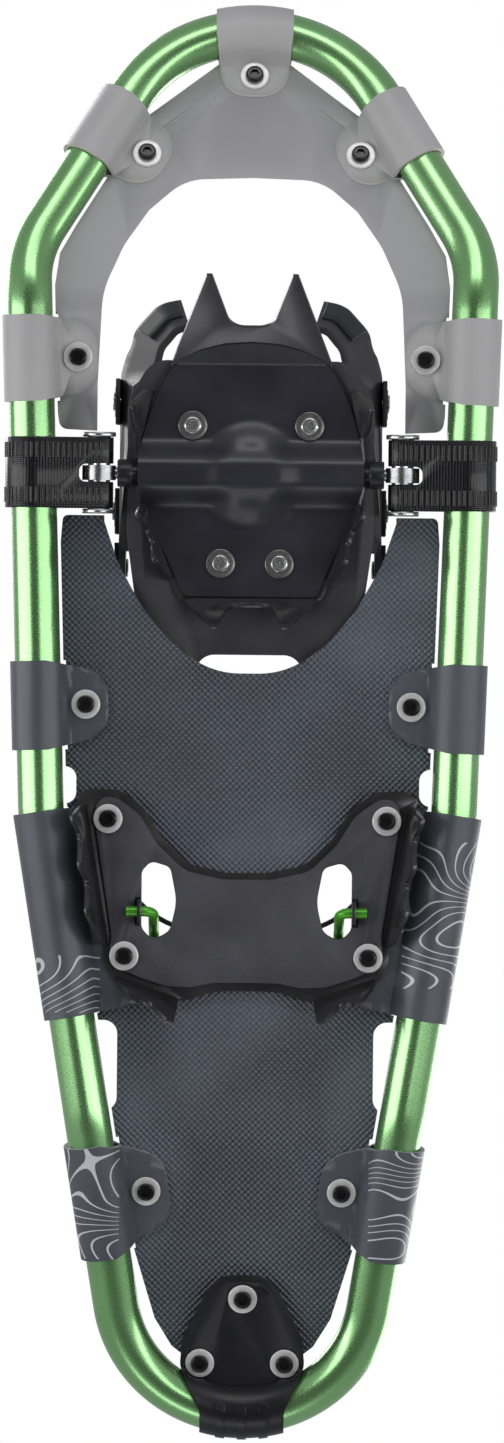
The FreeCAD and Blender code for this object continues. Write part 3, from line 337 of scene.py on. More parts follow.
def webbingFinish():
    f = Finish("webbingBlack", {"Coat Weight": 0.25, "Coat Roughness": 0.12, "Specular IOR Level": 0.35})
    along = (f.axis("X") * (2.0 * math.pi / threads["along"])).sine()
    across = (f.axis("Y") * (2.0 * math.pi / threads["across"])).sine()
    weave = along * 0.6 + across * 0.4
    cloud = f.noise(80.0, 3.0)
    share = f.span(weave * 0.4 + cloud, 0.2, 1.0, 0.0, 1.0)
    colour = f.mix(share, colours["webbing"], colours["webbingPale"])
    f.wear(colour, f.spread(cloud, 0.16, 0.28))
    return f.emboss(weave, 0.00012, 0.5).material


finish = {
    "tube": tubeFinish(),
    "nose": noseFinish("noseGrey", "nose"),
    "noseTab": noseFinish("noseTabGrey", "noseTab"),
    "noseEdge": edgeFinish("noseCutEdge", "noseEdge"),
    "slate": slateFinish(),
    "wrap": wrapFinish(),
    "slateEdge": edgeFinish("slateCutEdge", "slateEdge"),
    "wrapEdge": edgeFinish("wrapCutEdge", "wrapEdge"),
    "cover": blackFinish("coverSatinBlack", "cover", 0.34, 0.00028, 0.00004, coat=0.15),
    "heelCover": blackFinish("heelCoverGrain", "heelCover", 0.42, 0.0011, 0.00022),
    "crampon": blackFinish("cramponBlackSteel", "crampon", 0.27, 0.0008, 0.00003, coat=0.25, metallic=0.6),
    # crampon edges: worn bare steel, painted bright as a glint along them
    "cramponEdge": steelFinish("cramponWornEdgeAndGlint", "cramponEdge", 0.28),
    "footplate": blackFinish("footplateBlack", "footplate", 0.42, 0.0007, 0.00008),
    "plastic": blackFinish("mouldedBlack", "plastic", 0.36, 0.0005, 0.00006),
    "plasticEdge": blackFinish("mouldedBlackEdge", "plasticEdge", 0.28, 0.0008, 0.00003, coat=0.2),
    "strap": ribbedRubber("strapRubber", "strap", 0.40),
    "pad": ribbedRubber("padRubber", "pad", 0.58),
    "webbing": webbingFinish(),
    "green": ribbedRubber("greenTrim", "green", 0.42),
    "greenWire": steelFinish("greenWire", "greenWire", 0.30, metallic=0.35),
    "axle": steelFinish("axleSteel", "axle", 0.26),
    "bright": steelFinish("brightSteel", "bright", 0.24),
    "washer": steelFinish("paleWasher", "washer", 0.36, metallic=0.35),
    "darkWasher": steelFinish("coverWasher", "darkWasher", 0.30),
    "screw": blackFinish("blackScrew", "screw", 0.28, 0.0006, 0.00003, coat=0.3, metallic=0.5),
}
print("finishes made,", len(finish))


# mesh helpers
def bodyOf(node):
    return frame["nodes"][node]["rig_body"]


def copyOf(node):  # the CAD piece as one welded mesh
    bm = bmesh.new()
    bm.from_mesh(frame["nodes"][node].data)
    bmesh.ops.remove_doubles(bm, verts=bm.verts, dist=2e-6)
    return bm


def cleanCopy(node):  # the welded piece, with each flat face in one
    bm = copyOf(node)
    bmesh.ops.dissolve_limit(bm, angle_limit=0.004, verts=bm.verts, edges=bm.edges)
    return bm


def cutAcross(bm, axis, places):  # extra edges along planes across an axis
    normal = Vector([1.0 if i == axis else 0.0 for i in range(3)])
    for place in places:
        parts = bm.verts[:] + bm.edges[:] + bm.faces[:]
        bmesh.ops.bisect_plane(bm, geom=parts, dist=1e-6, plane_co=normal * place, plane_no=normal)


def asObject(bm, name, finishes, smoothAngle=32):
    mesh = bpy.data.meshes.new(name)
    bm.to_mesh(mesh)
    bm.free()
    for key in finishes:
        mesh.materials.append(finish[key])
    return shown(mesh, name, smoothAngle)


def shown(mesh, name, smoothAngle=32):
    mesh.shade_smooth()
    mesh.set_sharp_from_angle(angle=math.radians(smoothAngle))
    piece = bpy.data.objects.new(name, mesh)
    bpy.context.scene.collection.objects.link(piece)
    return piece


def applied(piece, name=None, smoothAngle=32):  # the piece with its modifiers made final
    bpy.context.view_layer.update()
    graph = bpy.context.evaluated_depsgraph_get()
    mesh = bpy.data.meshes.new_from_object(piece.evaluated_get(graph))
    name = name or piece.name
    bpy.data.objects.remove(piece)
    return shown(mesh, name, smoothAngle)


def settle(piece, body, slotName, *nodes):
    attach(piece, body)
    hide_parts(*nodes)


def ease(value, start, end):  # a soft step from 0 to 1
    t = min(1.0, max(0.0, (value - start) / (end - start)))
    return t * t * (3 - 2 * t)


def rounded(piece, width, segments=2, edgeIndex=-1):  # -1 leaves the edges in the finish beside them
    bevel = piece.modifiers.new("rounding", "BEVEL")
    bevel.width = width
    bevel.segments = segments
    bevel.limit_method = "ANGLE"
    bevel.angle_limit = math.radians(38)
    bevel.use_clamp_overlap = True
    bevel.material = edgeIndex
    facing = piece.modifiers.new("facing", "WEIGHTED_NORMAL")
    facing.weight = 50
    facing.keep_sharp = True
    return applied(piece, smoothAngle=40)


toeCup = {
    "start": -0.138, "end": -0.155, "rim": 0.0585, "tuck": 0.60, "middle": (0.020, -0.150), "step": 0.004,
    "cuts": ((1, -0.186, -0.142), (2, 0.030, 0.062)),  # axis, first and last place
}


def tuckToe(bm):  # the toe end of a wing leans in towards its foot
    for axis, first, last in toeCup["cuts"]:
        count = int((last - first) / toeCup["step"])
        cutAcross(bm, axis, [first + toeCup["step"] * i for i in range(count)])
    for vert in bm.verts:
        share = ease(vert.co.y, toeCup["start"], toeCup["end"])
        drop = max(0.0, toeCup["rim"] - vert.co.z) * toeCup["tuck"] * share
        side = 1 if vert.co.x > 0 else -1
        inward = Vector((toeCup["middle"][0] * side - vert.co.x, toeCup["middle"][1] - vert.co.y, 0))
        vert.co += inward.normalized() * drop


def softCopy(node, name, slotName, look, edgeLook, width):
    bm = cleanCopy(node)
    if node.endswith("_wing"):
        tuckToe(bm)
    piece = asObject(bm, name, [look, edgeLook or look])
    piece = rounded(piece, width, edgeIndex=1 if edgeLook else -1)
    settle(piece, bodyOf(node), slotName, node)


def islands(node):  # centre, axis and points of each separate solid of a node
    bm = copyOf(node)
    left, found = set(bm.verts), []
    while left:
        heap = [left.pop()]
        group = [heap[0]]
        while heap:
            for edge in heap.pop().link_edges:
                for vert in edge.verts:
                    if vert in left:
                        left.remove(vert)
                        heap.append(vert)
                        group.append(vert)
        points = np.array([v.co[:] for v in group])
        centre = (points.min(0) + points.max(0)) / 2
        axes = np.linalg.eigh(np.cov((points - points.mean(0)).T))[1]
        found.append((points, centre, axes))
    bm.free()
    return found


# lights, floor and camera
studio = {
    "sweep": 1.0, "middle": (0.0, 0.0, 0.03),
    "fill": (0.07, 0.42, -0.97, -0.55),  # least and most strength, and the heights they start from
    "lights": [  # name, place, size across, size along, watts
        ("stripRight", (1.50, 0.0, -1.35), 0.40, 2.8, 15.0),
        ("stripLeft", (-1.90, 0.0, -0.85), 0.55, 2.8, 20.0),
        ("frontSoft", (0.12, -2.0, -1.5), 2.0, 0.6, 15.0),
        ("rearSoft", (-0.4, 2.1, -1.2), 1.6, 0.5, 6.0),
        ("topLeft", (-1.3, -0.9, 1.9), 1.4, 1.4, 24.0),
        ("topRight", (1.5, 0.8, 1.6), 0.8, 2.0, 16.0),
    ],
    "floorHalf": 60.0, "floorDrop": 0.0005,
    "cameraDistance": 7.0, "frameHeight": 0.6317, "aside": 0.0016, "roll": 0.57, "sensor": 36.0,
}


def makeWorld(scene):  # white behind the piece, a softer glow on it
    world = bpy.data.worlds.new("studioWhite")
    scene.world = world
    world.use_nodes = True
    tree = Tree(world.node_tree)
    world.node_tree.nodes.clear()
    seen = tree.add("ShaderNodeLightPath", out="Is Camera Ray")
    sweep = tree.add("ShaderNodeBackground", {}, {"Color": (1.0, 1.0, 1.0, 1.0), "Strength": studio["sweep"]})
    way = tree.add("ShaderNodeTexCoord", out="Generated")
    height = tree.add("ShaderNodeSeparateXYZ", {}, {"Vector": way}, out="Z")
    low, high, edge, rim = studio["fill"]
    glow = tree.add("ShaderNodeMapRange", {"interpolation_type": "SMOOTHSTEP"}, {
        "Value": height, "From Min": edge, "From Max": rim, "To Min": low, "To Max": high})
    fill = tree.add("ShaderNodeBackground", {}, {"Color": (0.95, 0.97, 1.0, 1.0), "Strength": glow})
    both = tree.add("ShaderNodeMixShader", {}, {0: seen, 1: fill, 2: sweep})
    tree.add("ShaderNodeOutputWorld", {}, {"Surface": both})


def makeLamps(scene):
    for name, place, across, along, watts in studio["lights"]:
        light = bpy.data.lights.new(name, "AREA")
        light.shape = "RECTANGLE"
        light.size, light.size_y = across, along
        light.energy = watts
        lamp = bpy.data.objects.new(name, light)
        lamp.location = place
        aim = Vector(studio["middle"]) - Vector(place)
        lamp.rotation_euler = aim.to_track_quat("-Z", "Y").to_euler()
        lamp.visible_camera = False
        scene.collection.objects.link(lamp)


def makeFloor(scene):  # pale from above, and open to the camera and lights below it
    floorMesh = bpy.data.meshes.new("studioFloor")
    half = studio["floorHalf"]
    corners = [(-half, -half, 0), (half, -half, 0), (half, half, 0), (-half, half, 0)]
    floorMesh.from_pydata(corners, [], [(0, 1, 2, 3)])
    floor = bpy.data.objects.new("studioFloor", floorMesh)
    floor.location.z = -studio["floorDrop"]
    scene.collection.objects.link(floor)
    pale = bpy.data.materials.new("paleFloor")
    pale.use_nodes = True
    tree = Tree(pale.node_tree)
    pale.node_tree.nodes.clear()
    place = tree.add("ShaderNodeTexCoord", out="Object")
    cloud = tree.add("ShaderNodeTexNoise", {}, {"Vector": place, "Scale": 1.2, "Detail": 3.0})
    greys = [(0.3, (0.80, 0.80, 0.80, 1)), (0.7, (0.84, 0.84, 0.84, 1))]
    tint = tree.add("ShaderNodeValToRGB", {"stops": greys}, {"Fac": cloud})
    top = tree.add("ShaderNodeBsdfDiffuse", {}, {"Color": tint, "Roughness": 0.9})
    glass = tree.add("ShaderNodeBsdfTransparent")
    below = tree.add("ShaderNodeNewGeometry", out="Backfacing")
    sides = tree.add("ShaderNodeMixShader", {}, {0: below, 1: top, 2: glass})
    tree.add("ShaderNodeOutputMaterial", {}, {"Surface": sides})
    floorMesh.materials.append(pale)
    for ray in ("diffuse", "glossy", "shadow", "transmission"):
        setattr(floor, "visible_" + ray, False)


def makeCamera(scene):
    lens = bpy.data.cameras.new("underView")
    lens.sensor_width = studio["sensor"]
    lens.lens = studio["sensor"] * studio["cameraDistance"] / studio["frameHeight"]
    lens.clip_end = 100.0
    camera = bpy.data.objects.new("underView", lens)
    turn = math.radians(studio["roll"])
    right = Vector((math.cos(turn), -math.sin(turn), 0.0))
    up = Vector((-math.sin(turn), -math.cos(turn), 0.0))
    back = Vector((0.0, 0.0, -1.0))
    place = (studio["aside"], 0.0, studio["middle"][2] - studio["cameraDistance"])
    camera.matrix_world = Matrix.Translation(place) @ Matrix((right, up, back)).transposed().to_4x4()
    scene.collection.objects.link(camera)
    scene.camera = camera


bpy.context.scene.view_settings.view_transform = "Standard"
makeWorld(bpy.context.scene)
makeLamps(bpy.context.scene)
makeFloor(bpy.context.scene)
makeCamera(bpy.context.scene)
print("studio made")


# frame tube: one bend after another, swept
tube = {
    "radius": 0.010, "axleZ": 0.028, "noseTipY": -0.3035, "noseR": 0.064, "noseTurn": 60.0,
    "noseStraight": 0.0714, "shoulderR": 0.050, "railTurn": 91.7, "noseTilt": 22.0, "noseLiftR": 0.030,
    "flankY": 0.042, "flankR": 0.080, "flankHeading": 99.2, "flankLead": 0.065, "tailLiftY": 0.170,
    "tailLiftR": 0.060, "tailTilt": 12.0, "tailTipY": 0.3031, "tailGap": 0.0003,
    "spacing": 0.0022, "longest": 0.006, "sides": 48,
}


class Walk:  # points along lines and arcs laid end to end
    def __init__(self, start, heading):
        self.at, self.heading, self.points = Vector(start), Vector(heading), [Vector(start)]

    def line(self, length):
        self.at = self.at + self.heading * length
        self.points.append(self.at.copy())

    def arc(self, radius, degrees, axis):
        centre = self.at + axis.cross(self.heading) * radius
        steps = max(3, int(math.radians(degrees) * radius / tube["spacing"]))
        start = self.at - centre
        for i in range(1, steps + 1):
            turn = Matrix.Rotation(math.radians(degrees * i / steps), 3, axis)
            self.points.append(centre + turn @ start)
        self.at = self.points[-1].copy()
        self.heading = turn @ self.heading


def levelWay(walk):  # the axis that turns a heading towards level or away from it
    return walk.heading.cross(Vector((0, 0, 1))).normalized()


def noseWalk(tipZ):
    tilt = math.radians(tube["noseTilt"])
    up = Vector((0.0, math.sin(tilt), math.cos(tilt)))
    walk = Walk((0.0, tube["noseTipY"], tipZ), (1.0, 0.0, 0.0))
    walk.arc(tube["noseR"], tube["noseTurn"], up)
    walk.line(tube["noseStraight"])
    walk.arc(tube["shoulderR"], tube["railTurn"] - tube["noseTurn"], up)
    pitch = math.degrees(math.asin(-walk.heading.z))
    walk.arc(tube["noseLiftR"], pitch, levelWay(walk))
    return walk


def frameWalk():  # the right half of the tube, from the nose tip to the tail tip
    walk = noseWalk(tube["axleZ"] - noseWalk(0.0).at.z)
    walk.line((tube["flankY"] - tube["flankR"] * tube["flankLead"] - walk.at.y) / walk.heading.y)
    heading = math.degrees(math.atan2(walk.heading.y, walk.heading.x))
    walk.arc(tube["flankR"], tube["flankHeading"] - heading, Vector((0, 0, 1)))
    walk.line((tube["tailLiftY"] - walk.at.y) / walk.heading.y)
    walk.arc(tube["tailLiftR"], tube["tailTilt"], levelWay(walk))
    lean = math.atan2(-walk.heading.x, math.hypot(walk.heading.y, walk.heading.z))
    tilt = math.radians(-tube["tailTilt"])
    across = (tube["tailTipY"] - walk.at.y) / math.cos(tilt)
    leanSine, leanCosine = math.sin(lean), math.cos(lean)
    straight = (across * leanCosine - walk.at.x * (1 - leanSine)) / (
        leanCosine * leanCosine - leanSine * (1 - leanSine))
    radius = (walk.at.x - straight * leanSine) / leanCosine
    walk.line(straight)
    walk.arc(radius, 90 - math.degrees(lean), Vector((0.0, math.sin(tilt), math.cos(tilt))))
    walk.points[-1].x = tube["tailGap"]
    return walk.points


def newTree(name, floats, counts=()):  # shapes in and out, numbers and a material
    group = bpy.data.node_groups.new(name, "GeometryNodeTree")
    sockets = group.interface
    sockets.new_socket("Geometry", in_out="OUTPUT", socket_type="NodeSocketGeometry")
    sockets.new_socket("Geometry", in_out="INPUT", socket_type="NodeSocketGeometry")
    kinds = [(key, "Float") for key in floats] + [(key, "Int") for key in counts] + [("Material", "Material")]
    for key, kind in kinds:
        sockets.new_socket(key, in_out="INPUT", socket_type="NodeSocket" + kind)
    tree = Tree(group)
    return group, tree, tree.add("NodeGroupInput", out="Geometry")


def storeNumber(tree, shape, name, value):  # a number kept on each point of a shape
    return tree.add("GeometryNodeStoreNamedAttribute", {"data_type": "FLOAT", "domain": "POINT"}, {
        "Geometry": shape, "Name": name, "Value": value})


def storedVector(tree, name):
    return tree.add("GeometryNodeInputNamedAttribute", {"data_type": "FLOAT_VECTOR"}, {"Name": name})


def close(tree, shape, entry):  # every tree ends the same way
    real = tree.add("GeometryNodeRealizeInstances", {}, {"Geometry": shape})
    dressed = tree.add("GeometryNodeSetMaterial", {}, {
        "Geometry": real, "Material": entry.other("Material")})
    tree.add("NodeGroupOutput", {}, {"Geometry": dressed})


# runs a tree on points and keeps the mesh
def grow(group, points, links, values, name, marks=None, smoothAngle=32):
    mesh = bpy.data.meshes.new(name + "Points")
    mesh.from_pydata([tuple(p) for p in points], links, [])
    for mark, vectors in (marks or {}).items():
        attribute = mesh.attributes.new(mark, "FLOAT_VECTOR", "POINT")
        attribute.data.foreach_set("vector", np.array(vectors, np.float32).ravel())
    piece = bpy.data.objects.new(name, mesh)
    bpy.context.scene.collection.objects.link(piece)
    modifier = piece.modifiers.new("nodes", "NODES")
    modifier.node_group = group
    for item in group.interface.items_tree:
        if item.in_out == "INPUT" and item.name in values:
            modifier[item.identifier] = values[item.name]
    return applied(piece, name, smoothAngle)


def tubeTree():
    group, tree, entry = newTree("sweptTube", ["Radius"], ["Sides"])
    line = tree.add("GeometryNodeMeshToCurve", {}, {"Mesh": entry})
    length = tree.add("GeometryNodeSplineParameter", out="Length")
    line = storeNumber(tree, line, "along", length)
    ring = tree.add("GeometryNodeCurvePrimitiveCircle", {}, {
        "Resolution": entry.other("Sides"), "Radius": entry.other("Radius")})
    share = tree.add("GeometryNodeSplineParameter", out="Factor")
    ring = storeNumber(tree, ring, "around", (share - 0.5).size() * 2.0)
    skin = tree.add("GeometryNodeCurveToMesh", {}, {"Curve": line, "Profile Curve": ring, "Fill Caps": True})
    close(tree, skin, entry)
    return group


def densely(points, step):  # points added where two are more than a step apart
    out = [points[0]]
    for a, b in zip(points, points[1:]):
        count = max(1, int((b - a).length / step))
        out += [a.lerp(b, i / count) for i in range(1, count + 1)]
    return out


def makeTube():
    half = frameWalk()
    left = [Vector((-p.x, p.y, p.z)) for p in reversed(half)]
    points = densely(left[:-1] + half, tube["longest"])
    links = [(i, i + 1) for i in range(len(points) - 1)]
    values = {"Radius": tube["radius"], "Sides": tube["sides"], "Material": finish["tube"]}
    piece = grow(tubeTree(), points, links, values, "tubeFrame", smoothAngle=50)
    bm = bmesh.new()
    bm.from_mesh(piece.data)
    bmesh.ops.recalc_face_normals(bm, faces=bm.faces)
    bm.to_mesh(piece.data)
    bm.free()
    settle(piece, "frame", "frame_green", "frame_tube")
    print("tube swept,", len(piece.data.polygons), "faces")


makeTube()


# screws, washers and nuts
fasteners = {
    "washer": {"Outer": 0.0064, "Bore": 0.0032, "Height": 0.0012, "Edge": 0.0004},
    "nut": {"Outer": 0.0055, "Bore": 0.0024, "Height": 0.0014, "Edge": 0.0005},
    "screw": {"Head": 0.0039, "Height": 0.0024, "Edge": 0.0009, "Socket": 0.0021, "Depth": 0.0015,
              "Shank": 0.0024},
}


def softCorners(tree, outline, count, entry):
    return tree.add("GeometryNodeFilletCurve", {"mode": "POLY"}, {
        "Curve": outline, "Count": count, "Radius": entry.other("Edge"), "Limit Radius": True})


def lifted(tree, shape, height):
    lift = tree.add("ShaderNodeCombineXYZ", {}, {"X": 0.0, "Y": 0.0, "Z": height})
    return tree.add("GeometryNodeTransform", {}, {"Geometry": shape, "Translation": lift})


def ringTree():  # flat ring with rounded edges
    group, tree, entry = newTree("ring", ["Outer", "Bore", "Height", "Edge"])
    outer, bore, height = entry.other("Outer"), entry.other("Bore"), entry.other("Height")
    middle = (outer + bore) * 0.5
    path = tree.add("GeometryNodeCurvePrimitiveCircle", {}, {"Resolution": 40, "Radius": middle})
    cut = tree.add("GeometryNodeCurvePrimitiveQuadrilateral", {}, {"Width": outer - bore, "Height": height})
    cut = softCorners(tree, cut, 3, entry)
    ring = tree.add("GeometryNodeCurveToMesh", {}, {"Curve": path, "Profile Curve": cut})
    close(tree, onPoints(tree, entry, ring), entry)
    return group


def onPoints(tree, entry, shape, across=None):  # a copy on each point, z along its axis, x along another mark
    align = "FunctionNodeAlignRotationToVector"
    turned = tree.add(align, {"axis": "Z"}, {"Vector": storedVector(tree, "axis")})
    if across:
        turned = tree.add(align, {"axis": "X", "pivot_axis": "Z"}, {
            "Rotation": turned, "Vector": storedVector(tree, across)})
    return tree.add("GeometryNodeInstanceOnPoints", {}, {
        "Points": entry, "Instance": shape, "Rotation": turned})


def screwTree():  # pan head with a six-sided socket
    group, tree, entry = newTree("capScrew", ["Head", "Height", "Edge", "Socket", "Depth", "Shank", "Reach"])
    head, height = entry.other("Head"), entry.other("Height")
    path = tree.add("GeometryNodeCurvePrimitiveCircle", {}, {"Resolution": 32, "Radius": head * 0.5})
    nearlyWhole = head * 0.9998  # the swept outline stops just short of the middle
    cut = tree.add("GeometryNodeCurvePrimitiveQuadrilateral", {}, {"Width": nearlyWhole, "Height": height})
    cut = softCorners(tree, cut, 4, entry)
    dome = tree.add("GeometryNodeCurveToMesh", {}, {"Curve": path, "Profile Curve": cut})
    dome = tree.add("GeometryNodeConvexHull", {}, {"Geometry": dome})
    socket = tree.add("GeometryNodeMeshCylinder", {}, {
        "Vertices": 6, "Radius": entry.other("Socket"), "Depth": entry.other("Depth") * 2.0})
    socket = lifted(tree, socket, height * -0.5)
    dome = tree.add("GeometryNodeMeshBoolean", {"operation": "DIFFERENCE"}, {
        "Mesh 1": dome, "Mesh 2": socket})
    shank = tree.add("GeometryNodeMeshCylinder", {}, {
        "Vertices": 24, "Radius": entry.other("Shank"), "Depth": entry.other("Reach")})
    shank = lifted(tree, shank, (height + entry.other("Reach")) * 0.5)
    whole = tree.add("GeometryNodeJoinGeometry", {}, {"Geometry": [dome, shank]})
    close(tree, onPoints(tree, entry, whole), entry)
    return group


def discs(node):  # centre and axis of each flat ring of a node, the axis pointing up
    out = []
    for _, centre, axes in islands(node):
        axis = Vector(axes[:, 0])
        out.append((Vector(centre), axis if axis.z > 0 else -axis))
    return out


def makeFasteners():
    trees = {"washer": ringTree(), "screw": screwTree()}
    groups = [("deck", "frame", "screw"), ("clip", "frame", "screw"), ("heel", "frame", "screw"),
              ("cover", "binding", "bright")]
    for kind, body, look in groups:
        rings = discs(kind + "_washers")
        for part, spots, size, lookOf in (
                ("washers", rings, fasteners["washer"], "darkWasher" if kind == "cover" else "washer"),
                ("nuts", discs(kind + "_nuts"), fasteners["nut"], "bright")):
            values = dict(size, Material=finish[lookOf])
            marks = {"axis": [a for _, a in spots]}
            piece = grow(trees["washer"], [c for c, _ in spots], [], values, kind + "Rings" + part, marks)
            settle(piece, body, "bright_steel", kind + "_" + part)
        lift = fasteners["washer"]["Height"] / 2 + fasteners["screw"]["Height"] / 2
        spots = [c - a * lift for c, a in rings]
        points = islands(kind + "_screws")[0][0]
        length = max(np.ptp(points @ np.array(a)) for _, a in rings)
        reach = float(length - fasteners["screw"]["Height"])
        values = dict(fasteners["screw"], Reach=reach, Material=finish[look])
        piece = grow(trees["screw"], spots, [], values, kind + "Screws", {"axis": [a for _, a in rings]})
        settle(piece, body, "bright_steel" if look == "bright" else "black_screw", kind + "_screws")


makeFasteners()
print("fasteners made")


# two decks: the CAD sheets welded and sorted into face, tab and cut edge, the rear one eased into soft waves
decks = {
    "nose": {"wave": 0.0, "flat": (0.260, 0.190), "area": 0.0242,
             "looks": ["nose", "noseEdge", "noseTab", "noseEdge"]},
    "rear": {"grid": 0.007, "wave": 0.0014, "flat": (0.245, 0.385), "area": 0.0723, "fade": 0.014,
             "zones": [(-0.078, 0.016, 0.059), (0.136, 0.182, 0.044)],  # first y, last y, half width
             "looks": ["slate", "slateEdge", "wrap", "wrapEdge"]},
}
patches = {"smoothAngle": 38, "stripWidth": 0.0026, "tabArea": 0.003, "wrapZ": 0.025}


def patchKinds(bm):  # for each face: is it a narrow strip, and is it on a tab
    limit = math.radians(patches["smoothAngle"])
    left, groups = set(bm.faces), []
    while left:
        heap = [left.pop()]
        group, rim = [heap[0]], 0.0
        while heap:
            face = heap.pop()
            for edge in face.edges:
                smooth = len(edge.link_faces) == 2 and edge.calc_face_angle() < limit
                if not smooth:
                    rim += edge.calc_length()
                    continue
                for beside in edge.link_faces:
                    if beside in left:
                        left.remove(beside)
                        heap.append(beside)
                        group.append(beside)
        area = sum(f.calc_area() for f in group)
        wraps = min(v.co.z for f in group for v in f.verts) < patches["wrapZ"]
        strip = rim > 0 and 2 * area / rim < patches["stripWidth"]
        groups.append((group, strip, area < patches["tabArea"] or wraps))
    onTab = {face for group, strip, small in groups if small and not strip for face in group}
    kinds = {}
    for group, strip, small in groups:
        tab = group[0] in onTab
        if strip:
            tab = any(f in onTab for face in group for edge in face.edges for f in edge.link_faces)
        for face in group:
            kinds[face] = (strip, tab)
    return kinds


def zoneShare(size, x, y):
    best = 0.0
    for low, high, half in size["zones"]:
        inside = min(y - low, high - y, half - abs(x))
        best = max(best, ease(inside, 0.0, size["fade"]))
    return best


def waveDeck(bm, size):
    low = [min(v.co[axis] for v in bm.verts) for axis in (0, 1)]
    high = [max(v.co[axis] for v in bm.verts) for axis in (0, 1)]
    for axis in (0, 1):
        steps = int((high[axis] - low[axis]) / size["grid"])
        cutAcross(bm, axis, [low[axis] + size["grid"] * i for i in range(1, steps)])
    for vert in bm.verts:
        if any(f.material_index > 1 for f in vert.link_faces):  # tabs stay as they are
            continue
        share = zoneShare(size, vert.co.x, vert.co.y)
        if share > 0:
            spot = Vector((vert.co.x * 26, vert.co.y * 20, 1.7))
            vert.co.z += size["wave"] * share * (softNoise(spot) + 0.4 * softNoise(spot * 2.3))


def makeDeck(node, name, size):
    bm = copyOf(node)
    for face, (strip, tab) in patchKinds(bm).items():
        face.material_index = (1 if strip else 0) + (2 if tab else 0)
    if size["wave"]:
        waveDeck(bm, size)
    piece = asObject(bm, name, size["looks"], 30)
    settle(piece, bodyOf(node), node, node)
    print(name, len(piece.data.polygons), "faces")


makeDeck("nose_deck", "noseDeck", decks["nose"])
makeDeck("rear_deck", "rearDeck", decks["rear"])


# pressed and moulded parts keep their CAD shape and get rounded edges in a lighter edge finish; on the
# crampons that is worn bare steel, painted bright as a glint
moulded = ("black_plastic", "plastic", "plasticEdge")  # slot, face finish, edge finish
plate = ("black_plastic", "footplate", "plasticEdge")
toothed = ("crampon_steel", "crampon", "cramponEdge")
bright = ("bright_steel", "bright", None)
rounding = [  # node, piece, slot with its finishes, rounding
    ("tail_clip", "tailClip", moulded, 0.0006),
    ("toe_crampon", "toeCrampon", toothed, 0.0006),
    ("heel_crampon", "heelCrampon", toothed, 0.0005),
    ("heel_cover", "heelCover", ("cover_black", "heelCover", "plasticEdge"), 0.0006),
    ("footplate", "footPlate", plate, 0.0007),
    ("left_wing", "leftWing", plate, 0.0007),
    ("right_wing", "rightWing", plate, 0.0007),
    ("axle_bushes", "axleBushes", moulded, 0.0004),
    ("left_pin", "leftPin", bright, 0.0004),
    ("right_pin", "rightPin", bright, 0.0004),
    ("wing_rivets", "wingRivets", bright, 0.0006),
    ("strap_rivets", "strapRivets", bright, 0.0005),
    ("strap_tabs", "strapTabs", ("green_accent", "green", None), 0.0005),
]
for part in ("buckle", "lever"):
    for kind in ("toe", "instep", "heel"):
        rounding.append((kind + "_" + part, kind + part.capitalize(), moulded, 0.0004))
for node, name, (slotName, look, edgeLook), width in rounding:
    softCopy(node, name, slotName, look, edgeLook, width)


def makeTrim():
    bm = cleanCopy("wing_trim")
    tuckToe(bm)
    trim = rounded(asObject(bm, "wingTrim", ["plastic", "green"]), 0.0004)
    for face in trim.data.polygons:  # the colour is only on the upper side
        face.material_index = 1 if face.normal.z > 0.4 else 0
    settle(trim, "binding", "green_accent", "wing_trim")


makeTrim()
# round parts whose CAD shape stays as it is
plain = {"tail_ferrule": "bright", "toe_axle": "axle", "heel_bail": "greenWire"}
plain.update({kind + "_buckle_pin": "bright" for kind in ("toe", "instep", "heel")})
for node, look in plain.items():
    for place in frame["nodes"][node].material_slots:
        place.material = finish[look]
print("plates, wings and buckles rounded")


# ribs: small rounded bars on straps, webbing and pads
def barTree():
    group, tree, entry = newTree("raisedBars", ["Length", "Radius", "Rise"])
    bar = tree.add("GeometryNodeMeshCylinder", {}, {
        "Vertices": 8, "Radius": entry.other("Radius"), "Depth": entry.other("Length")})
    bar = tree.add("GeometryNodeTransform", {}, {"Geometry": bar, "Rotation": (0.0, math.pi / 2, 0.0)})
    low = tree.add("ShaderNodeCombineXYZ", {}, {"X": 1.0, "Y": 1.0, "Z": entry.other("Rise")})
    bar = tree.add("GeometryNodeTransform", {}, {"Geometry": bar, "Scale": low})
    close(tree, onPoints(tree, entry, bar, "along"), entry)
    return group


bars = barTree()


def addBars(piece, spots, size, look, name):  # spots are (place, up, along)
    values = dict(size, Material=finish[look])
    marks = {"axis": [s[1] for s in spots], "along": [s[2] for s in spots]}
    ribs = grow(bars, [s[0] for s in spots], [], values, name, marks, 50)
    bpy.ops.object.select_all(action="DESELECT")
    ribs.select_set(True)
    piece.select_set(True)
    bpy.context.view_layer.objects.active = piece
    bpy.ops.object.join()
    return piece


def bevelled(node, name, look, width, segments=3):
    return rounded(asObject(cleanCopy(node), name, [look]), width, segments)


def evenly(line, step):  # points with their direction every step along a line
    out, carry = [], step / 2
    for a, b in zip(line, line[1:]):
        length = (b - a).length
        while carry <= length:
            out.append((a.lerp(b, carry / length), (b - a).normalized()))
            carry += step
        carry -= length
    return out


arcSteps = 8


def roundedLine(corners, radii):  # polyline with its inner corners rounded
    out = [Vector(corners[0])]
    for before, here, after, r in zip(corners, corners[1:], corners[2:], radii):
        here = Vector(here)
        back, ahead = (Vector(before) - here).normalized(), (Vector(after) - here).normalized()
        half = back.angle(ahead) / 2
        reach = r / math.tan(half)
        middle = here + (back + ahead).normalized() * (r / math.sin(half))
        start, end = here + back * reach - middle, here + ahead * reach - middle
        for i in range(arcSteps + 1):
            spoke = start.lerp(end, i / arcSteps)
            out.append(middle + spoke.normalized() * r)
    return out + [Vector(corners[-1])]


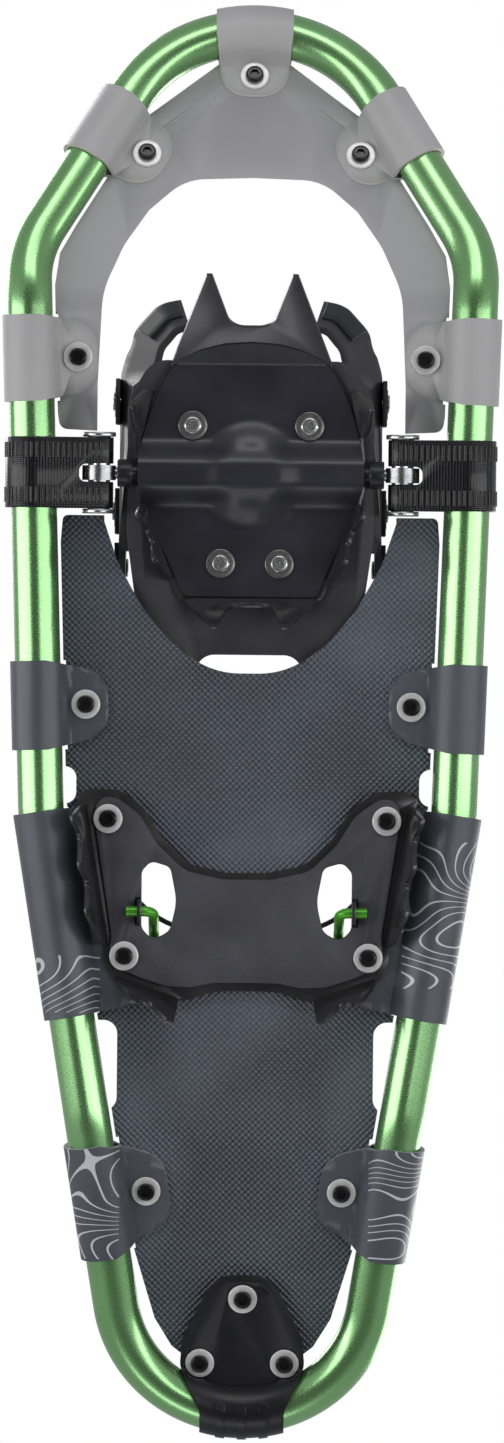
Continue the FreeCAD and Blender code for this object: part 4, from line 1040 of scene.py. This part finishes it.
webbing = {
    "tubeSide": 0.0123, "pinSide": 0.00632, "rows": (-0.0098, 0.0098), "pitch": 0.0024, "turnSteps": 24,
    "bar": {"Length": 0.0066, "Radius": 0.00070, "Rise": 0.8},
}


def makeWebbing(side, node, name):
    low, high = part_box(node)
    big, small = webbing["tubeSide"], webbing["pinSide"]
    railX, pinX = max(abs(low.x), abs(high.x)) - big, min(abs(low.x), abs(high.x)) + small
    y, z = (low.y + high.y) / 2, tube["axleZ"]
    lean = math.asin((big - small) / (railX - pinX))
    loop = [Vector((pinX - small * math.sin(lean), small * math.cos(lean)))]
    start, end = math.pi / 2 + lean, -math.pi / 2 - lean
    for i in range(webbing["turnSteps"] + 1):
        turn = start + (end - start) * i / webbing["turnSteps"]
        loop.append(Vector((railX + big * math.cos(turn), big * math.sin(turn))))
    loop.append(Vector((loop[0].x, -loop[0].y)))
    spots = []
    for at, ahead in evenly(loop, webbing["pitch"]):
        up = Vector((-ahead.y * side, 0.0, ahead.x))
        for row in webbing["rows"]:
            spots.append((Vector((at.x * side, y + row, z + at.y)), up, Vector((0, 1, 0))))
    piece = bevelled(node, name, "webbing", 0.0003, 2)
    piece = addBars(piece, spots, webbing["bar"], "webbing", name + "Ribs")
    settle(piece, bodyOf(node), "webbing_black", node)


makeWebbing(1, "right_webbing", "rightWebbing")
makeWebbing(-1, "left_webbing", "leftWebbing")


straps = {
    "pitch": 0.0042, "bar": {"Length": 0.013, "Radius": 0.0007, "Rise": 0.7}, "edge": 0.0006,
    "shoulder": 0.028, "crownHalf": 0.033, "rounds": (0.026, 0.028, 0.028, 0.026), "bare": (-0.036, 0.020),
    "toe": {"y": -0.140, "low": 0.072}, "instep": {"y": -0.092, "low": 0.084},
    "heel": {"y": 0.046, "z": 0.0885, "count": 4},
}


def makeStrap(kind):
    size = straps[kind]
    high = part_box(kind + "_strap")[1]
    side, crown, half = high.x, high.z, straps["crownHalf"]
    shoulder = crown - straps["shoulder"]
    corners = [(-side, size["low"]), (-side, shoulder), (-half, crown), (half, crown), (side, shoulder),
               (side, size["low"])]
    spots = []
    for at, ahead in evenly(roundedLine(corners, straps["rounds"]), straps["pitch"]):
        if straps["bare"][0] < at.x < straps["bare"][1]:  # the buckle and the strap's end lie here
            continue
        spots.append((Vector((at.x, size["y"], at.y)), Vector((-ahead.y, 0, ahead.x)), Vector((0, 1, 0))))
    finishStrap(kind, spots)


def makeHeelStrap():
    size = straps["heel"]
    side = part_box("heel_strap")[1].x
    spots = []
    for sign in (1, -1):
        for i in range(size["count"]):
            place = Vector((sign * side, size["y"] + straps["pitch"] * i, size["z"]))
            spots.append((place, Vector((sign, 0, 0)), Vector((0, 0, 1))))
    finishStrap("heel", spots)


def finishStrap(kind, spots):
    piece = bevelled(kind + "_strap", kind + "Strap", "strap", straps["edge"])
    piece = addBars(piece, spots, straps["bar"], "strap", kind + "Ribs")
    settle(piece, "binding", "strap_black", kind + "_strap")


makeStrap("toe")
makeStrap("instep")
makeHeelStrap()

pads = {
    "footbed": {"columns": (-0.0125, 0.0105), "front": -0.146, "rear": -0.042, "step": 0.0052,
                "bar": {"Length": 0.020, "Radius": 0.0008, "Rise": 0.75}},
    "heel_pad": {"columns": (-0.0135, 0.0115), "front": 0.030, "rear": 0.114, "step": 0.0060,
                 "bar": {"Length": 0.022, "Radius": 0.0009, "Rise": 0.75}},
    "stagger": 0.4, "nutClear": 0.0175, "edge": 0.0008,
}


def makePad(node, name, nuts):
    size = pads[node]
    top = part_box(node)[1].z
    spots = []
    rows = int((size["rear"] - size["front"]) / size["step"])
    for i in range(rows + 1):
        shift = size["step"] * pads["stagger"] if i % 2 else 0.0
        for x in size["columns"]:
            spot = Vector((x + shift, size["front"] + size["step"] * i, top))
            if all((spot - nut).xy.length > pads["nutClear"] for nut in nuts):
                spots.append((spot, Vector((0, 0, 1)), Vector((1, 0, 0))))
    piece = bevelled(node, name, "pad", pads["edge"])
    piece = addBars(piece, spots, size["bar"], "pad", name + "Ribs")
    settle(piece, bodyOf(node), "pad_rubber", node)


makePad("footbed", "footBed", [centre for centre, _ in discs("cover_nuts")])
makePad("heel_pad", "heelPad", [])
print("webbing, straps and pads ribbed")


# the toe crampon's cover: one pressed plate with a domed middle and the axle channel
cover = {
    "axleY": -0.1082, "under": 0.03045, "thick": 0.0016, "channel": 0.0084, "channelFlat": 0.0034,
    "channelEnd": 0.0165, "dome": 0.0056, "domeFlat": 0.0120, "domeEnd": 0.0255, "step": 0.0013,
    "shift": 0.0002, "bendY": -0.0475, "fall": 39.5, "hole": 0.0022, "reach": (0.052, 0.062),
    "half": [(0.0, -0.0600), (0.0120, -0.0589), (0.0225, -0.0555), (0.0310, -0.0502), (0.0364, -0.0440),
             (0.0402, -0.0372), (0.0437, -0.0280), (0.0465, -0.0190), (0.0486, -0.0100), (0.0496, -0.0040),
             (0.0496, 0.0030), (0.0486, 0.0082), (0.0462, 0.0140), (0.0412, 0.0262), (0.0352, 0.0395),
             (0.0306, 0.0500), (0.0292, 0.0526), (0.0268, 0.0536), (0.0, 0.0536)],
}


def coverPoint(x, y):
    channel = cover["channel"] * (1 - ease(abs(y), cover["channelFlat"], cover["channelEnd"]))
    dome = cover["dome"] * (1 - ease(math.hypot(x, y), cover["domeFlat"], cover["domeEnd"]))
    sag = math.sqrt(channel ** 2 + dome ** 2)
    over = cover["bendY"] - y
    if over <= 0:
        return Vector((x, cover["axleY"] + y, cover["under"] - sag))
    fall = math.radians(cover["fall"])
    return Vector((x, cover["axleY"] + cover["bendY"] - over * math.cos(fall),
                   cover["under"] - over * math.sin(fall)))


def makeCover():
    bm = bmesh.new()
    right = [(x, y) for x, y in cover["half"] if x > 0]
    loop = [cover["half"][0]] + right + [cover["half"][-1]] + [(-x, y) for x, y in reversed(right)]
    bm.faces.new([bm.verts.new((x, y, 0.0)) for x, y in loop])
    for axis, reach in enumerate(cover["reach"]):
        steps = int(reach / cover["step"])
        cutAcross(bm, axis, [cover["step"] * i + cover["shift"] for i in range(-steps, steps + 1)])
    for centre, _ in discs("cover_washers"):  # screw holes, hidden by the washers
        hole = Vector((centre.x, centre.y - cover["axleY"]))
        near = [f for f in bm.faces if (f.calc_center_median().xy - hole).length < cover["hole"]]
        bmesh.ops.delete(bm, geom=near, context="FACES")
    for vert in bm.verts:
        vert.co = coverPoint(vert.co.x, vert.co.y)
    bm.normal_update()
    if sum(f.normal.z for f in bm.faces) > 0:
        bmesh.ops.reverse_faces(bm, faces=bm.faces)
    piece = asObject(bm, "cramponCover", ["cover", "plasticEdge"], 60)
    wall = piece.modifiers.new("wall", "SOLIDIFY")
    wall.thickness = cover["thick"]
    wall.offset = -1.0
    wall.use_rim = True
    wall.material_offset_rim = 1
    piece = applied(piece, smoothAngle=50)
    settle(piece, "binding", "cover_black", "crampon_cover")


makeCover()
print("cover pressed")
